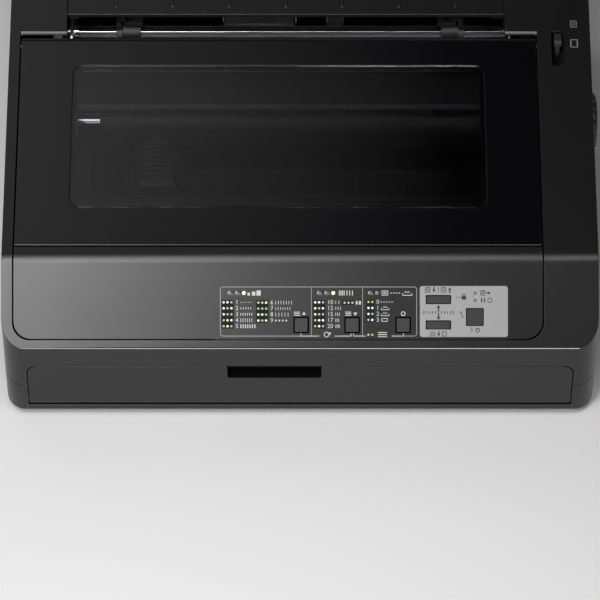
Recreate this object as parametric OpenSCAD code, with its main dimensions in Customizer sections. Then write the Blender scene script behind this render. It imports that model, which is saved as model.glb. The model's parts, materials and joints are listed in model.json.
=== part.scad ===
// Dot matrix printer for the desk: 80 columns, 24 pins, a sloped control panel along its front edge.
// Millimetres. X runs to the right, Y to the rear, Z up. The origin is on the table, under the case.

/* [Case] */
// Width of the case
body_w = 410; // [400:1:430]
// Depth of the case
body_d = 350; // [346:1:370]
// Gap under the case, which is the height of its feet
foot_h = 6; // [5:0.5:9]
// Height of the front edge, where the control panel starts
edge_z = 76.2; // [75:0.1:80]
// Slope of the control panel
panel_slope = 38; // [36:0.5:40]
// Length of the control panel's slope
panel_len = 63; // [61:0.5:66]
// Rise of the top towards the rear
top_slope = 9; // [8.5:0.5:10]
// Wall of the mouldings
wall = 2.5; // [2.2:0.1:2.8]
// Radius of the case's front corners, seen from above
front_corner_r = 16; // [12:1:18]
// Radius of the case's rear corners, seen from above
rear_corner_r = 8; // [4:1:12]
// Radius of the bend between the top and the control panel
bend_r = 17; // [10:1:20]
// Height of the line where the tray meets the upper case
split_z = 34; // [30:1:38]
// Gap between covers and the case round them
seam = 0.6; // [0.5:0.05:0.8]
// Radius of the edge between the control panel and the front
edge_r = 2.6; // [1.4:0.1:3]

/* [Covers] */
// Strip of the case left of the cover
left_strip = 7.5; // [6:0.5:10]
// Strip of the case right of the cover
right_strip = 37.6; // [34:0.1:42]
// Distance from the bend back to the cover's front edge
cover_setback = 8.8; // [8:0.1:12]
// Gap beside the cover and the control panel
side_seam = 0.9; // [0.6:0.05:1.2]
// Gap between the cover's front edge and the control panel
front_seam = 1.5; // [0.8:0.1:1.8]
// Strip of the case under the control panel
lower_strip = 6; // [5:0.5:8]
// Corner radius at the control panel's lower end
panel_corner_r = 12; // [8:1:14]
// Depth of the barrel that the cover turns on
cover_barrel_r = 6; // [5:0.5:7]
// Height of the front cover's top edge
front_cover_top = 56.6; // [54:0.1:60]
// Height of the front cover's lower edge
front_cover_low = 12; // [11:0.5:14]
// Corner radius of the front cover
front_cover_r = 7; // [4:1:9]
// Width of the finger recess in the front cover
recess_w = 65; // [50:1:80]
// Height of the finger recess
recess_h = 13; // [10:1:15]
// Depth of the finger recess
recess_depth = 9; // [7:0.5:11]
// Middle of the finger recess, from the middle of the case
recess_x = -17.7; // [-40:0.1:40]

/* [Controls] */
// Middle of the first button column, from the middle of the case
column_x = 0.8; // [-4:0.1:4]
// Spacing of the button columns
column_pitch = 35; // [33:0.5:36]
// Distance of the lower row of buttons up the slope
lower_row_v = 16.5; // [16:0.5:18]
// Distance of the sheet button up the slope
sheet_row_v = 33.9; // [33:0.1:35]
// Distance of the lamps up the slope
lamp_row_v = 38.4; // [38:0.1:40]
// Spacing of the lamps
lamp_pitch = 5; // [4.5:0.1:5.5]
// Diameter of a lamp
lamp_d = 2.6; // [2:0.1:3]
// Width of a square button
square_w = 8.9; // [8:0.1:10]
// Height of a square button
square_h = 9.5; // [8.5:0.1:10]
// Width of a long button
long_w = 16.5; // [15:0.1:19]
// Height of a long button
long_h = 5.3; // [5:0.1:7]
// Side of the pause button
pause_w = 11.3; // [11:0.1:13]
// Travel of a button
button_travel = 0.8; // [0.5:0.1:1]
// Height of the buttons above the panel
button_proud = 0.7; // [0.4:0.1:1.2]
// Width of the silver overlay
overlay_w = 60.4; // [58:0.1:62]
// Height of the silver overlay
overlay_h = 35; // [33:0.5:37]
// Thickness of the silver overlay
overlay_t = 0.4; // [0.3:0.1:0.6]

/* [Print mechanism] */
// Radius of the platen
platen_r = 15; // [14.5:0.5:16]
// Platen axis, from the middle of the case
platen_y = 10; // [6:1:14]
// Height of the platen axis
platen_z = 100; // [98:1:101]
// Radius of the platen shaft
shaft_r = 5; // [4:0.5:6]
// Radius of the platen knob
knob_r = 20; // [18:0.5:22]
// How far the platen knob stands out of the side
knob_proud = 4.5; // [3:0.5:5]
// Thickness of the steel side frames
sheet_t = 2; // [1.6:0.2:2.4]
// Gear module
gear_m = 1; // [1:0.05:1.05]
// Teeth of the platen gear
platen_teeth = 48; // [48:8:48]
// Radius of the carriage guide shaft
guide_r = 5; // [4:0.5:6]
// Length of the carriage
carriage_w = 46; // [40:1:50]
// Middle of the print head at rest, from the middle of the case
head_x = -100; // [-110:1:0]
// Radius of the print head's magnet housing
head_r = 18; // [15:0.5:18]
// Width of the tractors
tractor_w = 16; // [14:1:18]

/* [Rear paper guide] */
// Thickness of the paper guide
guide_t = 3; // [2.5:0.5:4]
// Height of the edge guides above the paper guide
edge_guide_h = 4; // [3:0.5:6]

/* [Hidden] */
$fn = 48;

// Clearances: round a shaft that turns, between loose parts, and between parts that are fixed together
run = 0.05;
play = 0.3;
snug = 0.02;
// A cut reaches this far past the face that it opens
past = 1;

// --- Case lines ---
front_y = -body_d / 2;
rear_y = body_d / 2;
bend_y = front_y + panel_len * cos(panel_slope);
bend_z = edge_z + panel_len * sin(panel_slope);
function top_z(y) = bend_z + (y - bend_y) * tan(top_slope);

// --- Covers ---
cover_x0 = -body_w / 2 + left_strip;
cover_x1 = body_w / 2 - right_strip;
cover_y0 = bend_y + cover_setback;
hinge_y = platen_y + 38;
hinge_z = top_z(hinge_y) - cover_barrel_r / cos(top_slope);
hinge_pin_r = 2.5;
rim_t = wall;
window_x0 = cover_x0 + 38;
window_x1 = cover_x1 - 38;
window_y0 = cover_y0 + 30;
window_y1 = hinge_y - 20;
window_ledge = 3;
window_t = 1.5;

// --- Rear bay under the paper guide ---
bay_left = 32.5;
bay_right = 22.4;
bay_x0 = cover_x0 + bay_left;
bay_x1 = cover_x1 - bay_right;
bay_y0 = hinge_y + cover_barrel_r + seam;
bay_y1 = rear_y - 9;
guide_y0 = bay_y0 + 15.5;
guide_axis_y = guide_y0 + 4;
guide_axis_z = top_z(guide_axis_y) - 4;
guide_pin_r = 1.6;

// --- Front cover ---
front_cover_w = body_w - 2 * front_corner_r;
front_barrel_r = 3;
// The lower corners stay nearly square, so that the hinge can turn in them
front_cover_low_r = 1;
front_axis_y = front_y + front_barrel_r;
front_axis_z = front_cover_low + seam + front_barrel_r;
front_pin_r = 1.5;
front_pin_l = 3;

// --- Mechanism ---
frame_left = 33.5;
frame_right = 19.4;
frame_x0 = cover_x0 + frame_left;
frame_x1 = cover_x1 - frame_right;
inner_x0 = frame_x0 + sheet_t;
frame_base_z = foot_h + 12;
platen_x0 = inner_x0 + 21;
platen_x1 = frame_x1 - 21;
bush_r = shaft_r + 4;
gear_x0 = frame_x0 - 12;
gear_w = 6;
low_gear_x0 = gear_x0 + gear_w;
low_gear_w = frame_x0 - low_gear_x0 - 0.5;
axle_r = 3;
axle_tip = 1;

reduction_small = 16;
reduction_big = 40;
pinion_teeth = 12;
tractor_idler_teeth = 40;
tractor_teeth = 24;
function pitch_r(n) = gear_m * n / 2;

// Places in the gear train, as [y, z]
function step(from, d, a) = from + d * [cos(a), sin(a)];
function bearing(from, to) = atan2(to[1] - from[1], to[0] - from[0]);
platen_at = [platen_y, platen_z];
reduction_bearing = -60;
reduction_at = step(platen_at, pitch_r(platen_teeth + reduction_small), reduction_bearing);
pinion_bearing = -30;
pinion_at = step(reduction_at, pitch_r(reduction_big + pinion_teeth), pinion_bearing);
tractor_at = [platen_y + 74, platen_z + 12];
idler_reach = pitch_r(platen_teeth + tractor_idler_teeth);
idler_to_tractor = pitch_r(tractor_idler_teeth + tractor_teeth);
tractor_reach = norm(tractor_at - platen_at);
idler_bend = acos((pow(idler_reach, 2) + pow(tractor_reach, 2) - pow(idler_to_tractor, 2))
    / (2 * idler_reach * tractor_reach));
idler_bearing = bearing(platen_at, tractor_at) - idler_bend;
idler_at = step(platen_at, idler_reach, idler_bearing);
tractor_bearing = bearing(idler_at, tractor_at);

// The turn at which gear b meets gear a, which lies at this bearing from it
function meshed(turn_a, teeth_a, direction, teeth_b) =
    direction + 180 + (direction - turn_a) * teeth_a / teeth_b + 180 / teeth_b;
platen_turn = reduction_bearing;
reduction_turn = meshed(platen_turn, platen_teeth, reduction_bearing, reduction_small);
reduction_big_turn = pinion_bearing;
pinion_turn = meshed(reduction_big_turn, reduction_big, pinion_bearing, pinion_teeth);
idler_turn = meshed(platen_turn, platen_teeth, idler_bearing, tractor_idler_teeth);
tractor_turn = meshed(idler_turn, tractor_idler_teeth, tractor_bearing, tractor_teeth);

// Carriage
guide_y = platen_y - 48;
guide_z = platen_z - 34;
nose_gap = 0.4;
ribbon_t = 0.3;
ribbon_y = platen_y - platen_r - 1 - ribbon_t;
nose_y = ribbon_y - nose_gap;
head_y1 = nose_y - 15;
head_y0 = head_y1 - 36;
belt_y = guide_y - 22;
belt_z0 = guide_z;
belt_h = 6;
belt_t = 1.2;
pulley_r = 6;
drive_x = inner_x0 + 19;
idler_x = frame_x1 - 14;
rail_y0 = guide_y - 52;
rail_y1 = guide_y - 37;
rail_z = guide_z - 8;
motor_r = 14.5;
motor_h = 22;
motor_drop = 10;

// Ribbon cartridge
arm_w = 10;
cart_x0 = inner_x0 + 6;
cart_x1 = frame_x1 - 6;
cart_y1 = head_y0 - 4;
cart_y0 = cart_y1 - 44;
cart_z0 = platen_z - 12;
cart_h = 16;
ribbon_h = 13;

// Tractors
drive_square = 6;
journal_r = 3.5;
tractor_guide_at = tractor_at + [26, 0];
tractor_guide_r = 3;
left_tractor_x = platen_x0 + 20;
right_tractor_x = platen_x1 - 20;
tractor_h = 15;

// Boards
board_t = 1.6;
logic_z = foot_h + 12;
logic_x0 = inner_x0 + 16;
logic_x1 = frame_x1 - 16;
logic_y0 = platen_y + 50;
logic_y1 = rear_y - wall - 6;
power_x0 = frame_x1 + sheet_t + 6;
power_x1 = body_w / 2 - wall - 5;

// Rear connectors
port_x = -30;
port_w = 54;
port_h = 12;
usb_x = 26;
usb_w = 12;
inlet_w = 27;
inlet_h = 20;
inlet_x = (power_x0 + power_x1) / 2;
inlet_z = foot_h + wall + 5;
switch_y = front_y + 48;
switch_z = split_z + 18;
switch_l = 20;
switch_w = 13;
rocker_tilt = 6;
rocker_depth = 3.2;
rocker_pin_r = 1.2;
rocker_ear = 3.7;

// --- Colours ---
case_color = "#2b2b2d";
dark_color = "#1b1b1d";
silver_color = "#a3a4a5";
button_color = "#3a3b3e";
steel_color = "#a8abad";
black_color = "#141416";
board_color = "#1f5a36";
gear_color = "#e7e3d6";

// ---------- Shared shapes ----------
function unit(v) = v / norm(v);

// Points of the fillet that rounds corner b between a and c
function fillet(a, b, c, r, n) =
    let (u = unit(a - b), w = unit(c - b), half = acos(u * w) / 2, middle = b + unit(u + w) * r / sin(half))
    let (from = b + u * r / tan(half) - middle, to = b + w * r / tan(half) - middle)
    let (start = atan2(from[1], from[0]), raw = atan2(to[1], to[0]) - start)
    let (turn = raw > 180 ? raw - 360 : raw < -180 ? raw + 360 : raw)
    r < 0.01 ? [b] : [for (i = [0:n]) middle + r * [cos(start + turn * i / n), sin(start + turn * i / n)]];

function rounded(points, radii, n = 6) = let (count = len(points))
    [for (i = [0:count - 1])
        each fillet(points[(i + count - 1) % count], points[i], points[(i + 1) % count], radii[i], n)];

// A convex outline, listed anticlockwise, drawn in by d on every side
function drawn_in(points, d) = let (count = len(points))
    [for (i = [0:count - 1])
        let (before = unit(points[i] - points[(i + count - 1) % count]))
        let (after = unit(points[(i + 1) % count] - points[i]))
        let (n1 = [-before[1], before[0]], n2 = [-after[1], after[0]])
        points[i] + (n1 + n2) * d / (1 + n1 * n2)];

function box_points(x0, y0, x1, y1) = [[x0, y0], [x1, y0], [x1, y1], [x0, y1]];

module round_box(x0, y0, x1, y1, r) polygon(rounded(box_points(x0, y0, x1, y1), [r, r, r, r]));

// Extrudes an outline drawn in Y and Z along X
module along_x(x0, x1) translate([x0, 0, 0]) rotate([90, 0, 90]) linear_extrude(x1 - x0) children();

// Extrudes an outline drawn in X and Z along Y
module along_y(y0, y1) translate([0, y1, 0]) rotate([90, 0, 0]) linear_extrude(y1 - y0) children();

// Extrudes an outline drawn in X and Y along Z
module along_z(z0, z1) translate([0, 0, z0]) linear_extrude(z1 - z0) children();

// A round bar along X at [y, z]
module rod(at, r, x0, x1) translate([x0, at[0], at[1]]) rotate([0, 90, 0]) cylinder(r = r, h = x1 - x0);

module block(low, high) translate(low) cube(high - low);

// Stands a shape on the control panel: x to the right, y up the slope, z out of the panel
module on_panel() translate([0, front_y, edge_z]) rotate([panel_slope, 0, 0]) children();

module panel_plate(x, v, w, h, low, high, r = 1) on_panel() along_z(low, high)
    round_box(x - w / 2, v - h / 2, x + w / 2, v + h / 2, r);

// Involute tooth flank: half the tooth's angle at radius r
pressure = 20;
backlash = 0.12;
function involute(a) = tan(a) * 180 / PI - a;
function half_tooth(n, r) = let (rp = pitch_r(n))
    90 / n - backlash / rp * 180 / PI + involute(pressure) - involute(acos(rp * cos(pressure) / r));
function gear_points(n, turn) =
    let (rp = pitch_r(n), root = rp - 1.2 * gear_m, tip = rp + 0.85 * gear_m)
    let (low = max(root, rp * cos(pressure) + 0.01), steps = 3)
    [for (k = [0:n - 1])
        let (flank = [for (i = [0:steps]) let (r = low + (tip - low) * i / steps) [r, half_tooth(n, r)]])
        each concat(
            [for (p = [[root, half_tooth(n, low)], each flank]) p[0] * [cos(k * 360 / n + turn - p[1]),
                sin(k * 360 / n + turn - p[1])]],
            [for (i = [steps:-1:0]) flank[i][0] * [cos(k * 360 / n + turn + flank[i][1]),
                sin(k * 360 / n + turn + flank[i][1])]],
            [root * [cos(k * 360 / n + turn + half_tooth(n, low)),
                sin(k * 360 / n + turn + half_tooth(n, low))]])];

module gear(at, n, turn, bore, x0, x1) along_x(x0, x1) translate(at) difference() {
    polygon(gear_points(n, turn));
    circle(bore);
}

// ---------- Case ----------
side_points = [[front_y, foot_h], [rear_y, foot_h], [rear_y, top_z(rear_y)], [bend_y, bend_z],
    [front_y, edge_z]];
side_radii = [2, 3, 8, bend_r, edge_r];
plan_points = box_points(-body_w / 2, front_y, body_w / 2, rear_y);
plan_radii = [front_corner_r, front_corner_r, rear_corner_r, rear_corner_r];

function shrunk(radii, d) = [for (r = radii) max(r - d, 0.5)];

// The case's outer form, drawn in by d
module case_form(d) intersection() {
    along_x(-body_w / 2 + d, body_w / 2 - d) polygon(rounded(drawn_in(side_points, d),
        shrunk(side_radii, d), 10));
    along_z(0, top_z(rear_y) + past) polygon(rounded(drawn_in(plan_points, d), shrunk(plan_radii, d), 8));
}

// The opening for the control panel, wider by extra on every side
module panel_opening(extra) on_panel() along_z(-14, 20) polygon(rounded(
    box_points(cover_x0 - extra, lower_strip - extra, cover_x1 + extra, panel_len + 3),
    [panel_corner_r, panel_corner_r, 0, 0]));

module front_opening(extra, y0, y1) along_y(y0, y1) polygon(rounded(
    box_points(-front_cover_w / 2 - extra, front_cover_low - extra, front_cover_w / 2 + extra,
        front_cover_top + extra),
    [front_cover_low_r, front_cover_low_r, front_cover_r, front_cover_r]));

// A flat rim that hangs from the top between y0 and y1
module rim(x0, x1, y0, y1, depth) along_x(x0, x1)
    polygon([[y0, top_z(y0) - depth], [y1, top_z(y1) - depth], [y1, top_z(y1) - 1], [y0, top_z(y0) - 1]]);

pocket_r = knob_r + 3.5;
pocket_depth = 14;
pocket_x = body_w / 2 - pocket_depth;
lever_x = body_w / 2 - 26;
lever_w = 5;
lever_at = [platen_y + 36, platen_z + 8];
lever_slot = [lever_at[0] - 18, lever_at[0] + 10];

module upper_case() color(case_color) difference() {
    union() {
        difference() {
            intersection() {
                case_form(0);
                block([-body_w / 2, front_y, split_z + play], [body_w / 2, rear_y, top_z(rear_y) + past]);
            }
            case_form(wall);
        }
        // Ledges under the control panel's edges
        on_panel() block([cover_x0 - rim_t, lower_strip + 10, -2 * wall],
            [cover_x0 + 4, panel_len - 6, -wall]);
        on_panel() block([cover_x1 - 4, lower_strip + 10, -2 * wall],
            [cover_x1 + rim_t, panel_len - 6, -wall]);
        on_panel() block([cover_x0 + 20, lower_strip - 3, -2 * wall],
            [cover_x1 - 20, lower_strip + 3, -wall]);
        // Rims that the cover and the paper guide turn in
        rim(cover_x0 - rim_t, cover_x0, bend_y + 16, bay_y0, 12);
        rim(cover_x1, cover_x1 + rim_t, bend_y + 16, bay_y0, 12);
        rim(bay_x0 - rim_t, bay_x0, bay_y0, bay_y1, 9);
        rim(bay_x1, bay_x1 + rim_t, bay_y0, bay_y1, 9);
        rim(bay_x0 - rim_t, bay_x1 + rim_t, bay_y1, bay_y1 + rim_t, 9);
        // Ears that the power switch turns in
        for (z = [switch_z - switch_w / 2 - rocker_ear, switch_z + switch_w / 2 + 0.7])
            block([-body_w / 2 + 1, switch_y - 4, z],
                [-body_w / 2 + rocker_depth + 2.5, switch_y + 4, z + rocker_ear - 0.7]);
        // Pocket round the platen knob
        rod(platen_at, pocket_r + wall, pocket_x - wall, body_w / 2 - 1);
    }
    panel_opening(0);
    along_z(bend_z - 20, top_z(rear_y) + past)
        polygon(box_points(cover_x0, bend_y - 7, cover_x1, bay_y0));
    along_z(bend_z - 20, top_z(rear_y) + past)
        polygon(box_points(bay_x0, bay_y0 - past, bay_x1, bay_y1));
    front_opening(0, front_y - past, front_y + wall + past);
    // Bevel that the raised cover leans over
    along_x(cover_x0, cover_x1) polygon([[bay_y0 - past, top_z(bay_y0) - wall],
        [bay_y0, top_z(bay_y0) - wall],
        [bay_y0 + 1.2, top_z(bay_y0 + 1.2)], [bay_y0 + 1.2, top_z(bay_y0) + past],
            [bay_y0 - past, top_z(bay_y0) + past]]);
    // Hinge bores
    rod([hinge_y, hinge_z], hinge_pin_r + run, cover_x0 - rim_t - past, cover_x1 + rim_t + past);
    rod([guide_axis_y, guide_axis_z], guide_pin_r + run, bay_x0 - rim_t - past, bay_x1 + rim_t + past);
    // Knob pocket and the shaft's way into it
    rod(platen_at, pocket_r, pocket_x, body_w / 2 + past);
    rod(platen_at, shaft_r + 1, pocket_x - wall - past, pocket_x + past);
    // Slot for the release lever
    along_z(bend_z, top_z(rear_y)) polygon(box_points(lever_x - 1.5, lever_slot[0], lever_x + lever_w + 1.5,
        lever_slot[1]));
    // Way in for fanfold paper at the rear
    along_y(rear_y - wall - past, rear_y + past)
        round_box(bay_x0 + 8, tractor_at[1] + 2, bay_x1 - 8, tractor_at[1] + 20, 2);
    // Bore and opening for the power switch
    translate([-body_w / 2 + rocker_depth, switch_y, switch_z - switch_w / 2 - rocker_ear - past])
        cylinder(r = rocker_pin_r + run, h = switch_w + 2 * rocker_ear + 2 * past);
    along_x(-body_w / 2 - past, -body_w / 2 + wall + past)
        round_box(switch_y - switch_l / 2, switch_z - switch_w / 2, switch_y + switch_l / 2,
            switch_z + switch_w / 2, 1);
    // Vents in both sides
    for (side = [-1, 1], i = [0:11])
        translate([side * body_w / 2, rear_y - 40 - 9 * i, split_z + 14])
            block([-wall - past, -2, 0], [wall + past, 2, 26]);
    // Power inlet
    along_y(rear_y - wall - past, rear_y + past)
        round_box(inlet_x - inlet_w / 2, inlet_z, inlet_x + inlet_w / 2, inlet_z + inlet_h, 2);
    // Screw wells in the rear
    for (x = [-body_w / 2 + 24, body_w / 2 - 24])
        translate([x, rear_y + past, split_z + 60]) rotate([90, 0, 0]) cylinder(r = 4, h = past + 1.5);
}

lip_h = 3;
lip_t = 1.5;
lip_gap = 0.15;
foot_x = body_w / 2 - 32;
foot_y = body_d / 2 - 30;
foot_r = 10;
boss_r = 5;
frame_boss_y = [guide_y - 42, tractor_at[0] + 10];
board_posts = [[logic_x0 + 6, logic_y0 + 6], [logic_x1 - 6, logic_y0 + 6], [logic_x0 + 6, logic_y1 - 6],
    [logic_x1 - 6, logic_y1 - 6]];
power_y0 = platen_y - 30;
power_y1 = rear_y - wall - 26;
power_posts = [[power_x0 + 5, power_y0 + 6], [power_x1 - 5, power_y0 + 6], [power_x0 + 5, power_y1 - 6],
    [power_x1 - 5, power_y1 - 6]];

module base_tray() color(case_color) difference() {
    union() {
        difference() {
            intersection() {
                case_form(0);
                block([-body_w / 2, front_y, 0], [body_w / 2, rear_y, split_z]);
            }
            case_form(wall);
        }
        // Lip that locates the upper case
        difference() {
            union() {
                intersection() {
                    case_form(wall - 0.5);
                    block([-body_w / 2, front_y, split_z - lip_h], [body_w / 2, rear_y, split_z]);
                }
                intersection() {
                    case_form(wall + lip_gap);
                    block([-body_w / 2, front_y, split_z - 1], [body_w / 2, rear_y, split_z + lip_h]);
                }
            }
            case_form(wall + lip_t);
        }
        // Posts under the side frames and the boards
        for (y = frame_boss_y, x = [inner_x0 + 7, frame_x1 - 7])
            translate([x, y, foot_h + 1]) cylinder(r = boss_r, h = frame_base_z - foot_h - 1);
        for (p = concat(board_posts, power_posts))
            translate([p[0], p[1], foot_h + 1]) cylinder(r = 4, h = logic_z - foot_h - 1);
        // Floor ribs across the paper path's bay
        for (i = [0:5])
            block([-front_cover_w / 2 + 40 + 60 * i, front_y + 20, foot_h + 1],
                [-front_cover_w / 2 + 42 + 60 * i, guide_y - 30, foot_h + wall + 4]);
        // Cheeks that the front cover turns in
        intersection() {
            case_form(0);
            union() for (side = [-1, 1])
                block([side * (front_cover_w / 2 + 2) - 2, front_y, foot_h + 1],
                    [side * (front_cover_w / 2 + 2) + 2, front_axis_y + front_barrel_r + 2,
                        front_axis_z + front_barrel_r + 3]);
        }
    }
    front_opening(0, front_y - past, front_y + wall + 2);
    rod([front_axis_y, front_axis_z], front_pin_r + run, -front_cover_w / 2 - front_pin_l - 0.4,
        front_cover_w / 2 + front_pin_l + 0.4);
    // Openings for the connectors
    along_y(rear_y - 2 * wall - past, rear_y + past) union() {
        round_box(port_x - port_w / 2 - play, logic_z + board_t, port_x + port_w / 2 + play,
            logic_z + board_t + port_h + play, 2);
        round_box(usb_x - usb_w / 2 - play, logic_z + board_t, usb_x + usb_w / 2 + play,
            logic_z + board_t + 11 + play, 1);
        round_box(inlet_x - inlet_w / 2, inlet_z, inlet_x + inlet_w / 2, inlet_z + inlet_h, 2);
    }
    // Vents under the power board
    for (i = [0:13])
        block([power_x0 + 4, power_y0 + 18 + 8 * i, 0],
            [power_x1 - 6, power_y0 + 21 + 8 * i, foot_h + wall + past]);
    // Pilot holes in the frame posts
    for (y = frame_boss_y, x = [inner_x0 + 7, frame_x1 - 7])
        translate([x, y, foot_h + wall + 1]) cylinder(r = 1.4, h = frame_base_z);
}

module rubber_feet() color(black_color)
    for (x = [-foot_x, foot_x], y = [-foot_y, foot_y])
        translate([x, y, 0]) {
            cylinder(r1 = foot_r - 1, r2 = foot_r, h = 1.5);
            translate([0, 0, 1.5]) cylinder(r = foot_r, h = foot_h - 1.5);
        }

// ---------- Control panel ----------
overlay_x = column_x + 2 * column_pitch + 41.6;
overlay_v = (sheet_row_v + lower_row_v) / 2 + 0.5;
sheet_x = overlay_x - 17.4;
pause_x = overlay_x + 7.6;
pause_v = lower_row_v + 5.4;
ring = 1;

film_ring = 0.5;

// Middle, width and height of each button on the panel, and the ring round it
item_at = [column_x, lower_row_v, square_w, square_h, ring];
change_at = [column_x + column_pitch, lower_row_v, square_w, square_h, ring];
set_at = [column_x + 2 * column_pitch, lower_row_v, square_w, square_h, ring];
sheet_at = [sheet_x, sheet_row_v, long_w, long_h, film_ring];
line_at = [sheet_x, lower_row_v, long_w, long_h, film_ring];
pause_at = [pause_x, pause_v, pause_w, pause_w, film_ring];
buttons = [item_at, change_at, set_at, sheet_at, line_at, pause_at];

unlit = [for (p = [column_x - 49.4, column_x - 49.4 + lamp_pitch, column_x + 12, column_x + 12 + lamp_pitch,
    column_x + column_pitch + 12, column_x + column_pitch + 12 + lamp_pitch]) [p, lamp_row_v]];
overlay_lamps = [[pause_x, lamp_row_v], [pause_x, lamp_row_v - lamp_pitch]];
lit = [[column_x - 49.4 + 2 * lamp_pitch, lamp_row_v], [column_x + 12 + 2 * lamp_pitch, lamp_row_v]];
board_h = -11.6;
board_v0 = 4;
board_v1 = 52;
board_x0 = column_x - 60;
board_x1 = overlay_x + overlay_w / 2 + 4;
panel_bosses = [for (x = [board_x0 + 5, board_x1 - 5], v = [board_v0 + 5, board_v1 - 5]) [x, v]];

// Shell between the outer form and a form drawn in by t, inside the panel opening
module panel_shell(t, gap) intersection() {
    difference() {
        case_form(0);
        case_form(t);
    }
    union() {
        panel_opening(-gap);
        along_z(bend_z - 20, top_z(rear_y))
            polygon(box_points(cover_x0 + gap, bend_y - 6, cover_x1 - gap, cover_y0 - front_seam / 2));
    }
    block([cover_x0, front_y, edge_z], [cover_x1, cover_y0 - front_seam / 2, top_z(rear_y)]);
}

module control_panel() color(case_color) difference() {
    union() {
        panel_shell(wall, side_seam);
        for (p = panel_bosses)
            on_panel() translate([p[0], p[1], board_h + board_t]) cylinder(r = 3,
                h = -board_h - board_t - 1);
        // Stiffening ribs behind the bare half of the panel
        for (i = [0:4])
            on_panel() block([cover_x0 + 20 + 26 * i, lower_strip + 6, -wall - 4],
                [cover_x0 + 21.5 + 26 * i, panel_len - 12, -1]);
    }
    for (b = buttons)
        panel_plate(b[0], b[1], b[2] + 2 * b[4], b[3] + 2 * b[4], -wall - past, past, 0.8);
    for (p = concat(unlit, lit, overlay_lamps))
        on_panel() translate([p[0], p[1], -wall - past]) cylinder(r = lamp_d / 2 + snug,
            h = wall + 2 * past);
    panel_plate(overlay_x, overlay_v, overlay_w, overlay_h, -overlay_t, past, 1.7);
}

module panel_overlay() color(silver_color) difference() {
    panel_plate(overlay_x, overlay_v, overlay_w, overlay_h, -overlay_t, 0, 1.7);
    for (b = [sheet_at, line_at, pause_at])
        panel_plate(b[0], b[1], b[2] + 2 * b[4], b[3] + 2 * b[4], -wall, past, 0.8);
    for (p = overlay_lamps)
        on_panel() translate([p[0], p[1], -wall]) cylinder(r = lamp_d / 2 + snug, h = wall + past);
}

// A key cap that rises through its ring, with a flange under the panel that keeps it in
module key(b, tint) color(tint) union() {
    panel_plate(b[0], b[1], b[2], b[3], -wall - 1, button_proud, 0.8);
    panel_plate(b[0], b[1], b[2] + 2 * (b[4] - play), b[3] + 2 * (b[4] - play), -wall - 1, -1.2, 0.8);
    panel_plate(b[0], b[1], b[2] + 2 * (b[4] + 1), b[3] + 2 * (b[4] + 1), -2 * wall, -wall - play, 0.8);
}

module item_button() key(item_at, button_color);
module change_button() key(change_at, button_color);
module set_button() key(set_at, button_color);
module sheet_button() key(sheet_at, "#55565a");
module line_button() key(line_at, "#55565a");
module pause_button() key(pause_at, "#55565a");

module lamps(places) for (p = places)
    on_panel() translate([p[0], p[1], board_h + board_t]) cylinder(r = lamp_d / 2,
        h = -board_h - board_t + 0.1);

module indicator_lamps() color("#3c3f42") lamps(concat(unlit, overlay_lamps));
module lit_lamps() color("#c8ff8a") lamps(lit);

module panel_board() color(board_color) on_panel() difference() {
    block([board_x0, board_v0, board_h], [board_x1, board_v1, board_h + board_t]);
    for (p = panel_bosses)
        translate([p[0], p[1], board_h - past]) cylinder(r = 1.2, h = board_t + 2 * past);
}

module panel_switches() color(black_color)
    for (b = buttons)
        on_panel() translate([b[0], b[1], board_h + board_t]) {
            block([-3, -3, 0], [3, 3, 3]);
            cylinder(r = 1.7, h = -2 * wall - button_travel - 0.2 - board_h - board_t);
        }

// ---------- Printer cover ----------
module cover_outline(y0, low, high) along_x(cover_x0 + side_seam, cover_x1 - side_seam)
    polygon([[y0, top_z(y0) - low], [hinge_y, top_z(hinge_y) - low], [hinge_y, top_z(hinge_y) - high],
        [y0, top_z(y0) - high]]);

module printer_cover() color(dark_color) difference() {
    union() {
        cover_outline(cover_y0 + front_seam / 2, wall, 0);
        rod([hinge_y, hinge_z], cover_barrel_r, cover_x0 + side_seam, cover_x1 - side_seam);
        rod([hinge_y, hinge_z], hinge_pin_r, cover_x0 - rim_t, cover_x1 + rim_t);
        // Lips that stiffen the front and the sides
        intersection() {
            cover_outline(cover_y0 + 4, 7, 1);
            union() {
                block([cover_x0 + 2, cover_y0 + 4, 0], [cover_x1 - 2, cover_y0 + 6, body_w]);
                block([cover_x0 + 2, cover_y0 + 4, 0], [cover_x0 + 4, hinge_y, body_w]);
                block([cover_x1 - 4, cover_y0 + 4, 0], [cover_x1 - 2, hinge_y, body_w]);
            }
        }
    }
    // The barrel is open below, between its ends
    along_x(cover_x0 + side_seam + 8, cover_x1 - side_seam - 8) difference() {
        translate([hinge_y, hinge_z]) rotate(top_slope) polygon(box_points(-12, -8, 8,
            cover_barrel_r - wall));
        polygon([[hinge_y - 20, top_z(hinge_y - 20) - wall], [hinge_y + 20, top_z(hinge_y + 20) - wall],
            [hinge_y, hinge_z + 40]]);
    }
    window_step(0, -past);
    window_step(window_ledge, wall + past);
}

// The window's seat, drawn in by d and down to this depth
module window_step(d, depth) intersection() {
    along_z(0, body_w) round_box(window_x0 + d, window_y0 + d, window_x1 - d, window_y1 - d, 8 - d);
    along_x(window_x0, window_x1) polygon([[window_y0, top_z(window_y0) - max(depth, window_t)],
        [window_y1, top_z(window_y1) - max(depth, window_t)], [window_y1, top_z(window_y1) + past],
        [window_y0, top_z(window_y0) + past]]);
}

module cover_window() color([0.1, 0.1, 0.11, 0.6]) intersection() {
    along_z(0, body_w) round_box(window_x0 + play, window_y0 + play, window_x1 - play, window_y1 - play,
        8 - play);
    along_x(window_x0, window_x1) polygon([[window_y0, top_z(window_y0) - window_t],
        [window_y1, top_z(window_y1) - window_t], [window_y1, top_z(window_y1)],
            [window_y0, top_z(window_y0)]]);
}

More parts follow.
